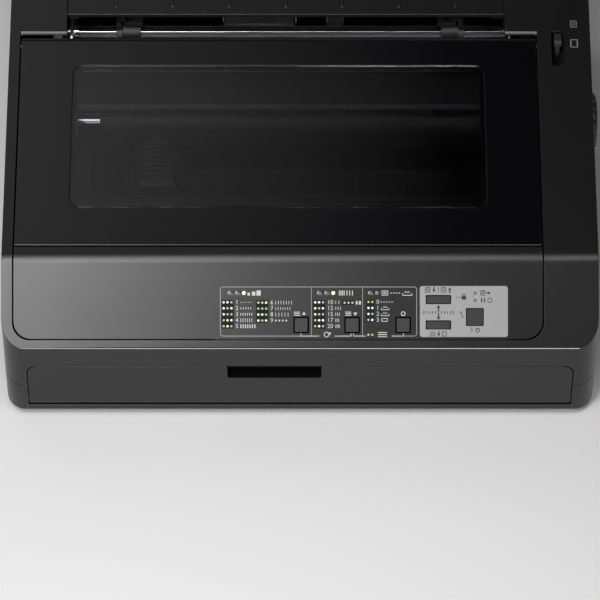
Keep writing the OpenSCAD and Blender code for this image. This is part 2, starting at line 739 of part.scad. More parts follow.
// ---------- Front cover and the guide behind it ----------
module front_cover() color(case_color) difference() {
    union() {
        intersection() {
            front_opening(-seam, front_y, front_y + wall);
            block([-body_w, front_y, front_axis_z], [body_w, rear_y, body_w]);
        }
        intersection() {
            front_opening(-seam, front_y, front_y + 2 * front_barrel_r);
            rod([front_axis_y, front_axis_z], front_barrel_r, -front_cover_w / 2, front_cover_w / 2);
        }
        rod([front_axis_y, front_axis_z], front_pin_r, -front_cover_w / 2 - front_pin_l,
            front_cover_w / 2 + front_pin_l);
        // Walls of the finger recess
        block([recess_x - recess_w / 2 - wall, front_y + 1, front_cover_top - seam - recess_h - wall],
            [recess_x + recess_w / 2 + wall, front_y + recess_depth + wall, front_cover_top - seam - 1]);
        // Ribs on the inside
        for (x = front_cover_w * [-0.4, -0.265, 0.132, 0.265, 0.4])
            block([x, front_y + 1, front_axis_z], [x + 1.6, front_y + wall + 3, front_cover_top - 10]);
    }
    along_y(front_y - past, front_y + recess_depth) round_box(recess_x - recess_w / 2,
        front_cover_top - seam - recess_h,
        recess_x + recess_w / 2, front_cover_top + 10, 2);
}

feed_x0 = drive_x + motor_r + 3;
feed_x1 = frame_x1 - 38;
feed_t = 2;
feed_leg = 4;
feed_line = [[front_y + 20, foot_h + 15], [guide_y - 30, foot_h + 26], [guide_y + 12, foot_h + 34],
    [platen_y - 22, platen_z - 28]];

// The feed line as a band, from low to high over it
function feed_band(low, high) = concat([for (p = feed_line) p + [0, high]],
    [for (i = [3:-1:0]) feed_line[i] + [0, low]]);

module front_guide() color(dark_color) {
    along_x(feed_x0, feed_x1) polygon(feed_band(-feed_t, 0));
    for (i = [0:7])
        let (x = feed_x0 + 4 + i * (feed_x1 - feed_x0 - 9.5) / 7)
            along_x(x, x + 1.5) polygon(feed_band(-1, 1.5));
    // Legs down to the tray
    for (x = [feed_x0 + 10, feed_x1 - 14]) {
        block([x, feed_line[0][0], foot_h + wall],
            [x + feed_leg, feed_line[0][0] + feed_leg, feed_line[0][1] - 1]);
        block([x, feed_line[1][0] - feed_leg, foot_h + wall],
            [x + feed_leg, feed_line[1][0], feed_line[1][1] - 1.2]);
    }
}

// ---------- Rear paper guide ----------
module paper_guide() color(case_color) difference() {
    union() {
        along_x(bay_x0 + seam, bay_x1 - seam) polygon([[guide_y0, top_z(guide_y0) - guide_t],
            [bay_y1 - seam, top_z(bay_y1 - seam) - guide_t], [bay_y1 - seam, top_z(bay_y1 - seam)],
                [guide_y0, top_z(guide_y0)]]);
        rod([guide_axis_y, guide_axis_z], guide_pin_r + 2, bay_x0 + seam, bay_x0 + seam + 8);
        rod([guide_axis_y, guide_axis_z], guide_pin_r + 2, bay_x1 - seam - 8, bay_x1 - seam);
        rod([guide_axis_y, guide_axis_z], guide_pin_r, bay_x0 - rim_t, bay_x0 + seam + 2);
        rod([guide_axis_y, guide_axis_z], guide_pin_r, bay_x1 - seam - 2, bay_x1 + rim_t);
        // Paper ribs
        for (i = [0:6], x = [bay_x0 + 34 + i * (bay_x1 - bay_x0 - 69.5) / 6])
            along_x(x, x + 1.5) polygon([[guide_y0 + 6, top_z(guide_y0 + 6) - 1],
                [bay_y1 - 8, top_z(bay_y1 - 8) - 1],
                [bay_y1 - 8, top_z(bay_y1 - 8) + 1], [guide_y0 + 6, top_z(guide_y0 + 6) + 1]]);
    }
    // Track that the edge guides slide in
    along_z(0, body_w) round_box(bay_x0 + 12, guide_track_y - 3, bay_x1 - 12, guide_track_y + 3, 2.9);
}
guide_track_y = guide_y0 + 62;

// An edge guide: a low wall on a foot, hooked through the track
module edge_guide(x, side) color(dark_color) union() {
    along_x(x - 1, x + 1) polygon([[guide_track_y - 34, top_z(guide_track_y - 34) + 1 + play],
        [guide_track_y + 16, top_z(guide_track_y + 16) + 1 + play],
            [guide_track_y + 16, top_z(guide_track_y + 16) + edge_guide_h],
        [guide_track_y - 34, top_z(guide_track_y - 34) + edge_guide_h]]);
    along_x(x - 9 + side * 8, x + 9 + side * 8) polygon([[guide_track_y - 10,
        top_z(guide_track_y - 10) + 1 + play],
        [guide_track_y + 10, top_z(guide_track_y + 10) + 1 + play],
            [guide_track_y + 10, top_z(guide_track_y + 10) + 2.8],
        [guide_track_y - 10, top_z(guide_track_y - 10) + 2.8]]);
    along_x(x - 4 + side * 8, x + 4 + side * 8) polygon([[guide_track_y - 2.7,
        top_z(guide_track_y) - guide_t - 1.2],
        [guide_track_y + 2.7, top_z(guide_track_y) - guide_t - 1.2],
            [guide_track_y + 2.7, top_z(guide_track_y) + 2],
        [guide_track_y - 2.7, top_z(guide_track_y) + 2]]);
}

module left_edge_guide() edge_guide(bay_x0 + 40, -1);
module right_edge_guide() edge_guide(bay_x1 - 40, 1);

// ---------- Side frames ----------
frame_points = [[guide_y - 58, frame_base_z], [tractor_at[0] + 38, frame_base_z],
    [tractor_at[0] + 38, tractor_at[1] + 11],
    [tractor_at[0] - 14, tractor_at[1] + 11], [platen_y + 46, platen_z + 8], [platen_y + 26, platen_z + 8],
    [platen_y + 16, platen_z + 29], [platen_y - 14, platen_z + 29], [platen_y - 24, platen_z + 10],
    [cart_y1 - 2, cart_z0 - 1], [guide_y - 58, cart_z0 - 1]];
frame_radii = [3, 3, 8, 8, 6, 6, 5, 5, 4, 3, 5];

module frame_plate(x0) along_x(x0, x0 + sheet_t) difference() {
    polygon(rounded(frame_points, frame_radii, 5));
    translate(platen_at) circle(bush_r + snug);
    translate([guide_y, guide_z]) circle(guide_r + snug);
    translate(tractor_at) circle(journal_r + run);
    translate(tractor_guide_at) circle(tractor_guide_r + snug);
    translate(roller_at) circle(roller_pin_r + run);
    round_box(guide_y - 48, frame_base_z + 12, guide_y - 12, frame_base_z + 26, 4);
    round_box(tractor_at[0] - 8, frame_base_z + 16, tractor_at[0] + 28, tractor_at[1] - 26, 5);
}

// A foot bent in from a side frame, screwed to its post
module frame_foot(x0, x1, y) difference() {
    block([x0, y - 8, frame_base_z], [x1, y + 8, frame_base_z + sheet_t]);
    translate([(x0 + x1) / 2, y, frame_base_z - past]) cylinder(r = 1.8, h = sheet_t + 2 * past);
}

module left_side_frame() color(steel_color) {
    difference() {
        frame_plate(frame_x0);
        rod(pinion_at, 8, frame_x0 - past, inner_x0 + past);
    }
    for (y = frame_boss_y)
        frame_foot(inner_x0 - 0.5, inner_x0 + 14, y);
    rod(reduction_at, axle_r, gear_x0 - axle_tip, frame_x0 + 1);
    rod(idler_at, axle_r, gear_x0 - axle_tip, frame_x0 + 1);
}

module right_side_frame() color(steel_color) {
    frame_plate(frame_x1);
    for (y = frame_boss_y)
        frame_foot(frame_x1 - 14, frame_x1 + 0.5, y);
    rod(gap_lever_at, axle_r, frame_x1 + sheet_t - 1, frame_x1 + sheet_t + 6);
    rod(lever_at, axle_r, frame_x1 + sheet_t - 1, lever_x + lever_w + 1);
}
gap_lever_at = [guide_y, guide_z + 14];

module frame_stays() color(steel_color) {
    // Front rail that the carriage rests on
    along_x(inner_x0, frame_x1) polygon([[rail_y0, rail_z - 10], [rail_y0 + 2, rail_z - 10],
        [rail_y0 + 2, rail_z - 2],
        [rail_y1, rail_z - 2], [rail_y1, rail_z], [rail_y0, rail_z]]);
    // Rear channel
    along_x(inner_x0, frame_x1) polygon([[platen_y + 44, platen_z - 20], [platen_y + 46, platen_z - 20],
        [platen_y + 46, platen_z - 6], [platen_y + 66, platen_z - 6], [platen_y + 66, platen_z - 4],
            [platen_y + 44, platen_z - 4]]);
    // Bracket and axle of the idler pulley
    block([idler_x - 8, belt_y - 9, belt_z0 - 4], [frame_x1, belt_y + 9, belt_z0 - 2]);
    translate([idler_x, belt_y, belt_z0 - 3]) cylinder(r = axle_r, h = belt_h + 6);
}

// ---------- Platen and paper feed ----------
module platen_shaft() color(steel_color)
    rod(platen_at, shaft_r, gear_x0 - 3, body_w / 2 + knob_proud - 4);

module platen_rubber() color(black_color) difference() {
    rod(platen_at, platen_r, platen_x0, platen_x1);
    rod(platen_at, shaft_r + snug, platen_x0 - past, platen_x1 + past);
}

module platen_gear() color(gear_color) {
    gear(platen_at, platen_teeth, platen_turn, shaft_r + snug, gear_x0, gear_x0 + gear_w);
    difference() {
        rod(platen_at, shaft_r + 3, gear_x0 - 2, gear_x0);
        rod(platen_at, shaft_r + snug, gear_x0 - 3, gear_x0 + past);
    }
}

module platen_bushes() color(gear_color)
    for (x = [frame_x0, frame_x1])
        difference() {
            union() {
                rod(platen_at, bush_r, x, x + sheet_t);
                rod(platen_at, bush_r + 2, x < 0 ? x + sheet_t : x - 4, x < 0 ? x + sheet_t + 4 : x);
            }
            rod(platen_at, shaft_r + run, x - 10, x + 10);
        }

module platen_knob() color(black_color) difference() {
    union() {
        rod(platen_at, knob_r, pocket_x + 1, body_w / 2 + knob_proud - 2);
        translate([body_w / 2 + knob_proud - 2, platen_y, platen_z]) rotate([0, 90,
            0]) cylinder(r1 = knob_r, r2 = knob_r - 2, h = 2);
    }
    // Finger grooves round the rim
    for (i = [0:19])
        rod(step(platen_at, knob_r + 1.2, i * 18), 2.2, pocket_x, body_w / 2 + knob_proud + past);
    // Hollow face
    rod(platen_at, knob_r - 6, body_w / 2 + knob_proud - 3, body_w / 2 + knob_proud + past);
    rod(platen_at, shaft_r + snug, pocket_x - past, body_w / 2 + knob_proud - 4);
}

pan_r = platen_r + 1.5;
module paper_pan() color(steel_color) along_x(platen_x0, platen_x1) translate(platen_at) polygon(concat(
    [for (i = [0:12]) pan_r * [cos(-150 + 12.5 * i), sin(-150 + 12.5 * i)]],
    [for (i = [12:-1:0]) (pan_r + 1.2) * [cos(-150 + 12.5 * i), sin(-150 + 12.5 * i)]]));

module reduction_gear() color(gear_color) {
    gear(reduction_at, reduction_small, reduction_turn, axle_r + run, gear_x0, gear_x0 + gear_w);
    gear(reduction_at, reduction_big, reduction_big_turn, axle_r + run, low_gear_x0,
        low_gear_x0 + low_gear_w);
}

module tractor_idler_gear() color(gear_color) {
    gear(idler_at, tractor_idler_teeth, idler_turn, axle_r + run, gear_x0, gear_x0 + gear_w);
    along_x(gear_x0 + gear_w, frame_x0 - play) translate(idler_at) difference() {
        circle(axle_r + 3);
        circle(axle_r + run);
    }
}

module feed_motor() color("#2a2c2f") {
    rod(pinion_at, 21, inner_x0, inner_x0 + 26);
    rod(pinion_at, 8 - snug, frame_x0, inner_x0 + 1);
    along_x(inner_x0, inner_x0 + 1.5) translate(pinion_at) rotate(45)
        round_box(-28, -8, 28, 8, 7);
}

module feed_pinion() color("#c9a45a") {
    gear(pinion_at, pinion_teeth, pinion_turn, 2, low_gear_x0, low_gear_x0 + low_gear_w);
    rod(pinion_at, 2, low_gear_x0 - 1, frame_x0 - play / 2);
}

// ---------- Tractors ----------
module tractor_gear() color(gear_color) {
    gear(tractor_at, tractor_teeth, tractor_turn, journal_r + snug, gear_x0, gear_x0 + gear_w);
}

module tractor_drive_shaft() color(steel_color) {
    rod(tractor_at, journal_r, gear_x0 - 2, inner_x0 + 4);
    rod(tractor_at, journal_r, frame_x1 - 4, frame_x1 + sheet_t + 3);
    along_x(inner_x0 + 3.5, frame_x1 - 3.5) translate(tractor_at)
        round_box(-drive_square / 2, -drive_square / 2, drive_square / 2, drive_square / 2, 0.6);
}

module tractor_guide_shaft() color(steel_color)
    rod(tractor_guide_at, tractor_guide_r, frame_x0 - 1, frame_x1 + sheet_t + 1);

pin_pitch = 12.7;
belt_loop_r = 8;

// Body of a tractor: a cheek, the pin belt round it and its hinge lug. side points to the outer face
module tractor(x, side) color("#3a3c40") difference() {
    union() {
        // Outer cheek
        along_x(x + side * tractor_w / 2 - 2, x + side * tractor_w / 2 + 2)
            polygon(rounded([tractor_at + [-11, -10], tractor_guide_at + [9, -10],
                tractor_guide_at + [9, 9],
                tractor_at + [-11, 9]], [9, 7, 5, 9], 6));
        // Core that carries the belt
        along_x(x - tractor_w / 2 + 2, x + tractor_w / 2 - 1)
            polygon(rounded([tractor_at + [-belt_loop_r, -belt_loop_r],
                tractor_guide_at + [6, -belt_loop_r],
                tractor_guide_at + [6, belt_loop_r], tractor_at + [-belt_loop_r, belt_loop_r]],
                [belt_loop_r - 0.1, 6, 6, belt_loop_r - 0.1], 6));
        // Feed pins
        for (i = [0:2])
            translate([x - 1, tractor_at[0] + i * pin_pitch, tractor_at[1] + belt_loop_r - 1])
                cylinder(r1 = 2, r2 = 1.3, h = 3);
        // Lugs for the lid
        for (y = [tractor_at[0] - 4, tractor_guide_at[0]])
            block([x + side * tractor_w / 2 - 2, y - 2, tractor_at[1]],
                [x + side * tractor_w / 2 + 2, y + 2, lid_z]);
        for (y = [tractor_at[0] - 4, tractor_guide_at[0]])
            translate([x + side * tractor_w / 2, y + 2, lid_z]) rotate([90, 0, 0]) cylinder(r = 2, h = 4);
    }
    rod(tractor_at, norm([drive_square, drive_square]) / 2 + 0.1, x - tractor_w, x + tractor_w);
    rod(tractor_guide_at, tractor_guide_r + run, x - tractor_w, x + tractor_w);
    translate([x + side * tractor_w / 2, tractor_guide_at[0] + 20, lid_z]) rotate([90, 0,
        0]) cylinder(r = lid_pin_r + run, h = 80);
}
lid_z = tractor_at[1] + 13.5;
lid_pin_r = 0.9;

// Lid that holds the paper on the pins, with a slot for them and a hinge pin along its outer edge
module tractor_lid(x, side) color("#2c2e31") {
    axis = x + side * tractor_w / 2;
    free_edge = x - side * 9;
    root = axis - side * 3.5;
    knuckle = [axis - side * 4.6, axis + side * 1.4];
    difference() {
        union() {
            block([min(free_edge, root), tractor_at[0] - 5.5, lid_z - 1.5],
                [max(free_edge, root), tractor_guide_at[0] + 6, lid_z + 1.2]);
            block([min(knuckle), tractor_at[0] - 1.6, lid_z - 1.4],
                [max(knuckle), tractor_guide_at[0] - 2.4, lid_z + 1.2]);
        }
        translate([x - 1 - 2.6, tractor_at[0] - 3, lid_z - 3]) cube([5.2, 2 * pin_pitch + 6, 6]);
    }
    translate([axis, tractor_guide_at[0] + 3, lid_z]) rotate([90, 0, 0])
        cylinder(r = lid_pin_r, h = tractor_guide_at[0] - tractor_at[0] + 10);
}

module left_tractor() tractor(left_tractor_x, -1);
module right_tractor() tractor(right_tractor_x, 1);
module left_tractor_cover() tractor_lid(left_tractor_x, -1);
module right_tractor_cover() tractor_lid(right_tractor_x, 1);

// ---------- Paper tension unit ----------
roller_r = 5;
roller_pin_r = 2;
roller_at = step(platen_at, platen_r + roller_r + play, 105);

module tension_unit() color(dark_color) {
    // Tear bar over the rollers, held between the side frames
    along_x(inner_x0, frame_x1) polygon([[platen_y - 12, platen_z + 25.5], [platen_y + 20, platen_z + 27.5],
        [platen_y + 20, platen_z + 30], [platen_y - 9, platen_z + 28]]);
    for (i = [0:60])
        let (x = platen_x0 + i * (platen_x1 - platen_x0 - 3) / 60)
            along_z(platen_z + 25.6, platen_z + 26.4) polygon([[x, platen_y - 11.7],
                [x + 1.5, platen_y - 13.2], [x + 3, platen_y - 11.7]]);
    // Hangers that the roller shaft runs in
    for (x = [platen_x0 + 20, (platen_x0 + platen_x1) / 2, platen_x1 - 23])
        along_x(x, x + 3) difference() {
            polygon(rounded([roller_at + [-4, -4], roller_at + [4, -4], [roller_at[0] + 6, platen_z + 27],
                [roller_at[0] - 6, platen_z + 27]], [3.9, 3.9, 0, 0]));
            translate(roller_at) circle(roller_pin_r + run);
        }
}

module tension_rollers() color(black_color) {
    rod(roller_at, roller_pin_r, frame_x0 - 1, frame_x1 + sheet_t + 1);
    for (i = [0:3])
        let (x = platen_x0 + 34 + i * (platen_x1 - platen_x0 - 80) / 3)
            rod(roller_at, roller_r, x, x + 12);
}

// ---------- Carriage and print head ----------
module guide_shaft() color("#c4c7ca") rod([guide_y, guide_z], guide_r, frame_x0 - 1,
    frame_x1 + sheet_t + 1);

module carriage() color(dark_color) difference() {
    union() {
        // Bearing block on the guide shaft
        along_x(head_x - carriage_w / 2, head_x + carriage_w / 2)
            polygon(rounded([[guide_y - guide_r - 4, guide_z - guide_r - 3],
                [guide_y + guide_r + 4, guide_z - guide_r - 3],
                [guide_y + guide_r + 4, guide_z + guide_r + 5],
                    [guide_y - guide_r - 4, guide_z + guide_r + 5]], [6, 6, 2, 2]));
        // Deck under the head
        along_x(head_x - carriage_w / 2 + 3, head_x + carriage_w / 2 - 3)
            polygon(rounded([[rail_y0 + 2, guide_z + guide_r + 3],
                [guide_y + guide_r + 4, guide_z + guide_r + 3],
                [guide_y + guide_r + 4, guide_z + guide_r + 7], [rail_y0 + 2, guide_z + guide_r + 7]],
                    [1, 1, 1, 1]));
        // Cradle that the head is clamped in
        along_x(head_x - 16, head_x + 16)
            polygon([[head_y0 + 4, guide_z + guide_r + 6], [head_y1 - 2, guide_z + guide_r + 6],
                [head_y1 - 2, platen_z - 8], [head_y0 + 4, platen_z - 8]]);
        // Slider on the front rail
        block([head_x - 8, rail_y0 + 2, rail_z + play], [head_x + 8, rail_y1 + 2, guide_z + guide_r + 4]);
        // Belt clamp
        block([head_x - 7, belt_y + pulley_r + belt_t + play, belt_z0 + 1],
            [head_x + 7, belt_y + pulley_r + belt_t + play + 3, guide_z + guide_r + 4]);
    }
    rod([guide_y, guide_z], guide_r + run, head_x - carriage_w, head_x + carriage_w);
    translate([head_x, head_y0, platen_z]) rotate([-90, 0, 0]) cylinder(r = head_r + snug,
        h = head_y1 - head_y0);
}

module print_head() color("#5c5e61") {
    difference() {
        union() {
            // Magnet housing with cooling fins
            for (i = [0:7])
                translate([head_x, head_y0 + 4 + i * 4, platen_z]) rotate([-90, 0, 0]) cylinder(r = head_r,
                    h = 2.2);
            translate([head_x, head_y0, platen_z]) rotate([-90, 0, 0]) cylinder(r = head_r - 4,
                h = head_y1 - head_y0);
            // Nose that guides the pins to the ribbon
            along_x(head_x - 6, head_x + 6) polygon(rounded([[head_y1 - 1, platen_z - 12],
                [nose_y - 6, platen_z - 7],
                [nose_y, platen_z - 5], [nose_y, platen_z + 5], [nose_y - 6, platen_z + 7],
                    [head_y1 - 1, platen_z + 12]],
                [0, 3, 0.8, 0.8, 3, 0]));
            // Connector on top
            block([head_x - 12, head_y0 - 2, platen_z + 4], [head_x + 12, head_y0 + 3, platen_z + 12]);
        }
        // Row of pins in the nose
        block([head_x - 1.2, nose_y - 0.5, platen_z - 3.5], [head_x + 1.2, nose_y + past, platen_z + 3.5]);
    }
}

module timing_belt() color(black_color) along_z(belt_z0, belt_z0 + belt_h) difference() {
    belt_outline(pulley_r + play + belt_t);
    belt_outline(pulley_r + play);
}

module belt_outline(r) {
    translate([drive_x, belt_y]) circle(r);
    translate([idler_x, belt_y]) circle(r);
    translate([drive_x, belt_y - r]) square([idler_x - drive_x, 2 * r]);
}

module carriage_motor() color("#2a2c2f") {
    translate([drive_x, belt_y, belt_z0 - motor_drop - motor_h]) cylinder(r = motor_r, h = motor_h);
    // Bracket to the left side frame
    block([inner_x0, belt_y - 12, belt_z0 - motor_drop - 1],
        [drive_x, belt_y + 12, belt_z0 - motor_drop + 1]);
    translate([drive_x, belt_y, belt_z0 - motor_drop]) cylinder(r = 4, h = motor_drop - 1.6 - play);
}

// A flanged pulley that turns on a vertical axle
module pulley(x) {
    translate([x, belt_y, belt_z0 - 1.6]) cylinder(r = pulley_r + 1.5, h = 1.3);
    translate([x, belt_y, belt_z0 - 1.6]) cylinder(r = pulley_r, h = belt_h + 3.2);
    translate([x, belt_y, belt_z0 + belt_h + 0.3]) cylinder(r = pulley_r + 1.5, h = 1.3);
}

module drive_pulley() color(steel_color) pulley(drive_x);
module idler_pulley() color(gear_color) difference() {
    pulley(idler_x);
    translate([idler_x, belt_y, belt_z0 - 2]) cylinder(r = axle_r + run, h = belt_h + 4);
}

// ---------- Ribbon ----------
module ribbon_cartridge() color(black_color) difference() {
    union() {
        along_z(cart_z0, cart_z0 + cart_h) polygon(rounded(
            [[cart_x0, cart_y0], [cart_x1, cart_y0], [cart_x1, ribbon_y - 1.5],
                [cart_x1 - arm_w + 4, ribbon_y - 1.5],
                [cart_x1 - arm_w, cart_y1 + 8], [cart_x1 - arm_w - 8, cart_y1],
                    [cart_x0 + arm_w + 8, cart_y1],
                [cart_x0 + arm_w, cart_y1 + 8], [cart_x0 + arm_w - 4, ribbon_y - 1.5],
                    [cart_x0, ribbon_y - 1.5]],
            [8, 8, 2, 1.5, 3, 4, 4, 3, 1.5, 2]));
        // Ears that rest on the side frames
        for (x = [inner_x0 - sheet_t, cart_x1 - 1])
            block([x, cart_y0 + 14, cart_z0 - 1], [x + 7 + sheet_t, cart_y0 + 24, cart_z0 + 3]);
    }
    // Sunk top between the ribs
    along_z(cart_z0 + cart_h - 1, cart_z0 + cart_h + past) round_box(cart_x0 + 20, cart_y0 + 6,
        cart_x1 - 20, cart_y1 - 6, 4);
    // Ribbon's way out of each arm
    for (x = [cart_x0 + 3, cart_x1 - 3 - 1.4])
        block([x, cart_y1 + 20, cart_z0 + 1.5], [x + 1.4, ribbon_y, cart_z0 + 1.5 + ribbon_h]);
    translate([cart_knob_x, cart_knob_y, cart_z0 + cart_h - 6]) cylinder(r = 3 + run, h = 8);
}
cart_knob_x = cart_x0 + 34;
cart_knob_y = (cart_y0 + cart_y1) / 2;

module ribbon_band() color("#0c0c0e") union() {
    block([cart_x0 + 3.2, ribbon_y, cart_z0 + 2],
        [cart_x1 - 3.2, ribbon_y + ribbon_t, cart_z0 + 1 + ribbon_h]);
    block([cart_x0 + 3.2, cart_y1 + 21, cart_z0 + 2],
        [cart_x0 + 3.2 + ribbon_t, ribbon_y + ribbon_t, cart_z0 + 1 + ribbon_h]);
    block([cart_x1 - 3.2 - ribbon_t, cart_y1 + 21, cart_z0 + 2],
        [cart_x1 - 3.2, ribbon_y + ribbon_t, cart_z0 + 1 + ribbon_h]);
}

module ribbon_knob() color("#4a4c50") difference() {
    union() {
        translate([cart_knob_x, cart_knob_y, cart_z0 + cart_h - 5.7]) cylinder(r = 3, h = 6);
        translate([cart_knob_x, cart_knob_y, cart_z0 + cart_h - 1 + play]) cylinder(r = 9, h = 4);
    }
    for (i = [0:11])
        translate([cart_knob_x + 9.6 * cos(i * 30), cart_knob_y + 9.6 * sin(i * 30),
            cart_z0 + cart_h - 2]) cylinder(r = 1.4, h = 8);
}

// ---------- Levers ----------
module release_lever() color("#4a4c50") difference() {
    union() {
        rod(lever_at, axle_r + 4, lever_x, lever_x + lever_w);
        along_x(lever_x + 1, lever_x + lever_w - 1) polygon(rounded([lever_at + [-4, 0], lever_at + [4, 0],
            [lever_at[0] + 2, top_z(lever_at[0]) + 8], [lever_at[0] - 6, top_z(lever_at[0]) + 8]],
                [0, 0, 2, 2]));
        along_x(lever_x, lever_x + lever_w) polygon(rounded([[lever_at[0] - 6.5, top_z(lever_at[0]) + 3],
            [lever_at[0] + 2.5, top_z(lever_at[0]) + 3], [lever_at[0] + 2.5, top_z(lever_at[0]) + 9],
                [lever_at[0] - 6.5, top_z(lever_at[0]) + 9]], [1, 1, 2, 2]));
    }
    rod(lever_at, axle_r + run, lever_x - past, lever_x + lever_w + past);
}

module gap_lever() color("#3f6f8f") difference() {
    union() {
        rod(gap_lever_at, axle_r + 3, frame_x1 + sheet_t + play, frame_x1 + sheet_t + 4);
        along_x(frame_x1 + sheet_t + play,
            frame_x1 + sheet_t + 3) polygon(rounded([gap_lever_at + [-3, 0], gap_lever_at + [3, 0],
            gap_lever_at + [2, 32], gap_lever_at + [-4, 32]], [0, 0, 2, 2]));
    }
    rod(gap_lever_at, axle_r + run, frame_x1, frame_x1 + sheet_t + 10);
}

// ---------- Electronics ----------
module logic_board() color(board_color) {
    block([logic_x0, logic_y0, logic_z], [logic_x1, logic_y1, logic_z + board_t]);
    // Processor, memories and drivers
    block([-60, logic_y0 + 20, logic_z + board_t - 0.1], [-32, logic_y0 + 48, logic_z + board_t + 3]);
    for (i = [0:3])
        block([-10 + 18 * i, logic_y0 + 20, logic_z + board_t - 0.1],
            [2 + 18 * i, logic_y0 + 42, logic_z + board_t + 3]);
    // Capacitors
    for (i = [0:4])
        translate([logic_x0 + 24 + 14 * i, logic_y0 + 66, logic_z + board_t - 0.1]) cylinder(r = 5, h = 14);
    // Heat sink of the head drivers
    for (i = [0:5])
        block([logic_x1 - 60, logic_y0 + 14 + 5 * i, logic_z + board_t - 0.1],
            [logic_x1 - 20, logic_y0 + 15.5 + 5 * i, logic_z + board_t + 16]);
    block([logic_x1 - 60, logic_y0 + 14, logic_z + board_t - 0.1],
        [logic_x1 - 20, logic_y0 + 40.5, logic_z + board_t + 3]);
}

module power_board() color("#b58a4a") {
    block([power_x0, power_y0, logic_z], [power_x1, power_y1, logic_z + board_t]);
    // Transformer
    block([power_x0 + 4, power_y0 + 16, logic_z + board_t - 0.1],
        [power_x1 - 6, power_y0 + 56, logic_z + board_t + 28]);
    // Main capacitors
    for (i = [0:1])
        translate([power_x0 + 16, power_y0 + 78 + 26 * i, logic_z + board_t - 0.1]) cylinder(r = 11,
            h = 32);
    // Heat sink
    block([power_x1 - 7, power_y0 + 66, logic_z + board_t - 0.1],
        [power_x1 - 4, power_y1 - 28, logic_z + board_t + 30]);
}

module interface_ports() color(steel_color) {
    // Printer port: a metal shell with a tongue inside
    along_y(rear_y - 12, rear_y) difference() {
        polygon(rounded([[port_x - port_w / 2 + 2, logic_z + board_t],
            [port_x + port_w / 2 - 2, logic_z + board_t],
            [port_x + port_w / 2, logic_z + board_t + port_h],
                [port_x - port_w / 2, logic_z + board_t + port_h]], [2, 2, 2, 2]));
        polygon(rounded([[port_x - port_w / 2 + 4, logic_z + board_t + 1.5],
            [port_x + port_w / 2 - 4, logic_z + board_t + 1.5],
            [port_x + port_w / 2 - 2, logic_z + board_t + port_h - 1.5],
                [port_x - port_w / 2 + 2, logic_z + board_t + port_h - 1.5]], [1.5, 1.5, 1.5, 1.5]));
    }
    along_y(rear_y - 14, rear_y - 10) round_box(port_x - port_w / 2 + 1, logic_z + board_t,
        port_x + port_w / 2 - 1, logic_z + board_t + port_h - 0.5, 1);
    block([port_x - port_w / 2 + 8, rear_y - 11, logic_z + board_t + port_h / 2 - 1.2],
        [port_x + port_w / 2 - 8, rear_y - 2, logic_z + board_t + port_h / 2 + 1.2]);
    // Square data port
    along_y(rear_y - 14, rear_y) difference() {
        round_box(usb_x - usb_w / 2, logic_z + board_t, usb_x + usb_w / 2, logic_z + board_t + 11, 0.8);
        round_box(usb_x - usb_w / 2 + 1, logic_z + board_t + 1, usb_x + usb_w / 2 - 1,
            logic_z + board_t + 10, 0.6);
    }
    block([usb_x - usb_w / 2 + 0.5, rear_y - 14, logic_z + board_t + 0.5],
        [usb_x + usb_w / 2 - 0.5, rear_y - 10, logic_z + board_t + 10.5]);
    block([usb_x - 2.5, rear_y - 11, logic_z + board_t + 4],
        [usb_x + 2.5, rear_y - 2, logic_z + board_t + 7]);
    // Mains inlet with three blades
    along_y(rear_y - 22, rear_y + 0) difference() {
        polygon(rounded(box_points(inlet_x - inlet_w / 2 + snug, inlet_z + snug,
            inlet_x + inlet_w / 2 - snug, inlet_z + inlet_h - snug), [2, 2, 2, 2]));
        polygon(rounded(box_points(inlet_x - inlet_w / 2 + 2, inlet_z + 2, inlet_x + inlet_w / 2 - 2,
            inlet_z + inlet_h - 2), [3, 3, 5, 5]));
    }
    block([inlet_x - inlet_w / 2 + 1, rear_y - 22, inlet_z + 1],
        [inlet_x + inlet_w / 2 - 1, rear_y - 18, inlet_z + inlet_h - 1]);
    for (p = [[-7, 8], [0, 12], [7, 8]])
        block([inlet_x + p[0] - 1, rear_y - 19, inlet_z + p[1] - 2],
            [inlet_x + p[0] + 1, rear_y - 4, inlet_z + p[1] + 2]);
}

module power_switch() color(black_color)
    translate([-body_w / 2 + rocker_depth, switch_y, switch_z]) rotate([0, 0, rocker_tilt]) {
        along_z(-switch_w / 2 + play, switch_w / 2 - play) polygon(rounded(
            [[-2.2, -switch_l / 2 + 1], [-1.4, 0], [-2.2, switch_l / 2 - 1],
                [6, switch_l / 2 - 3], [8, 0], [6, -switch_l / 2 + 3]], [0.6, 8, 0.6, 1, 2, 1], 4));
        // Pins that it turns on
        for (z = [-switch_w / 2 - rocker_ear + play, switch_w / 2 - 1])
            translate([0, 0, z]) cylinder(r = rocker_pin_r, h = rocker_ear + 1 - play);
    }

base_tray();
upper_case();
control_panel();
panel_overlay();
item_button();
change_button();
set_button();
sheet_button();
line_button();
pause_button();
indicator_lamps();
lit_lamps();
panel_board();
panel_switches();
printer_cover();
cover_window();
front_cover();
front_guide();
paper_guide();
left_edge_guide();
right_edge_guide();
left_side_frame();
right_side_frame();
frame_stays();
platen_shaft();
platen_rubber();
platen_gear();
platen_knob();
platen_bushes();
paper_pan();
reduction_gear();
feed_motor();
feed_pinion();
tractor_idler_gear();
tractor_gear();
tractor_drive_shaft();
tractor_guide_shaft();
left_tractor();
right_tractor();
left_tractor_cover();
right_tractor_cover();
tension_unit();
tension_rollers();
guide_shaft();
carriage();
print_head();
timing_belt();
carriage_motor();
drive_pulley();
idler_pulley();
ribbon_cartridge();
ribbon_band();
ribbon_knob();
release_lever();
gap_lever();
logic_board();
power_board();
interface_ports();
power_switch();
rubber_feet();
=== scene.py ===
"""Desk dot matrix printer: finishes, printed marks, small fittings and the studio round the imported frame."""

import json
import math

import bpy
from mathutils import Matrix, Vector

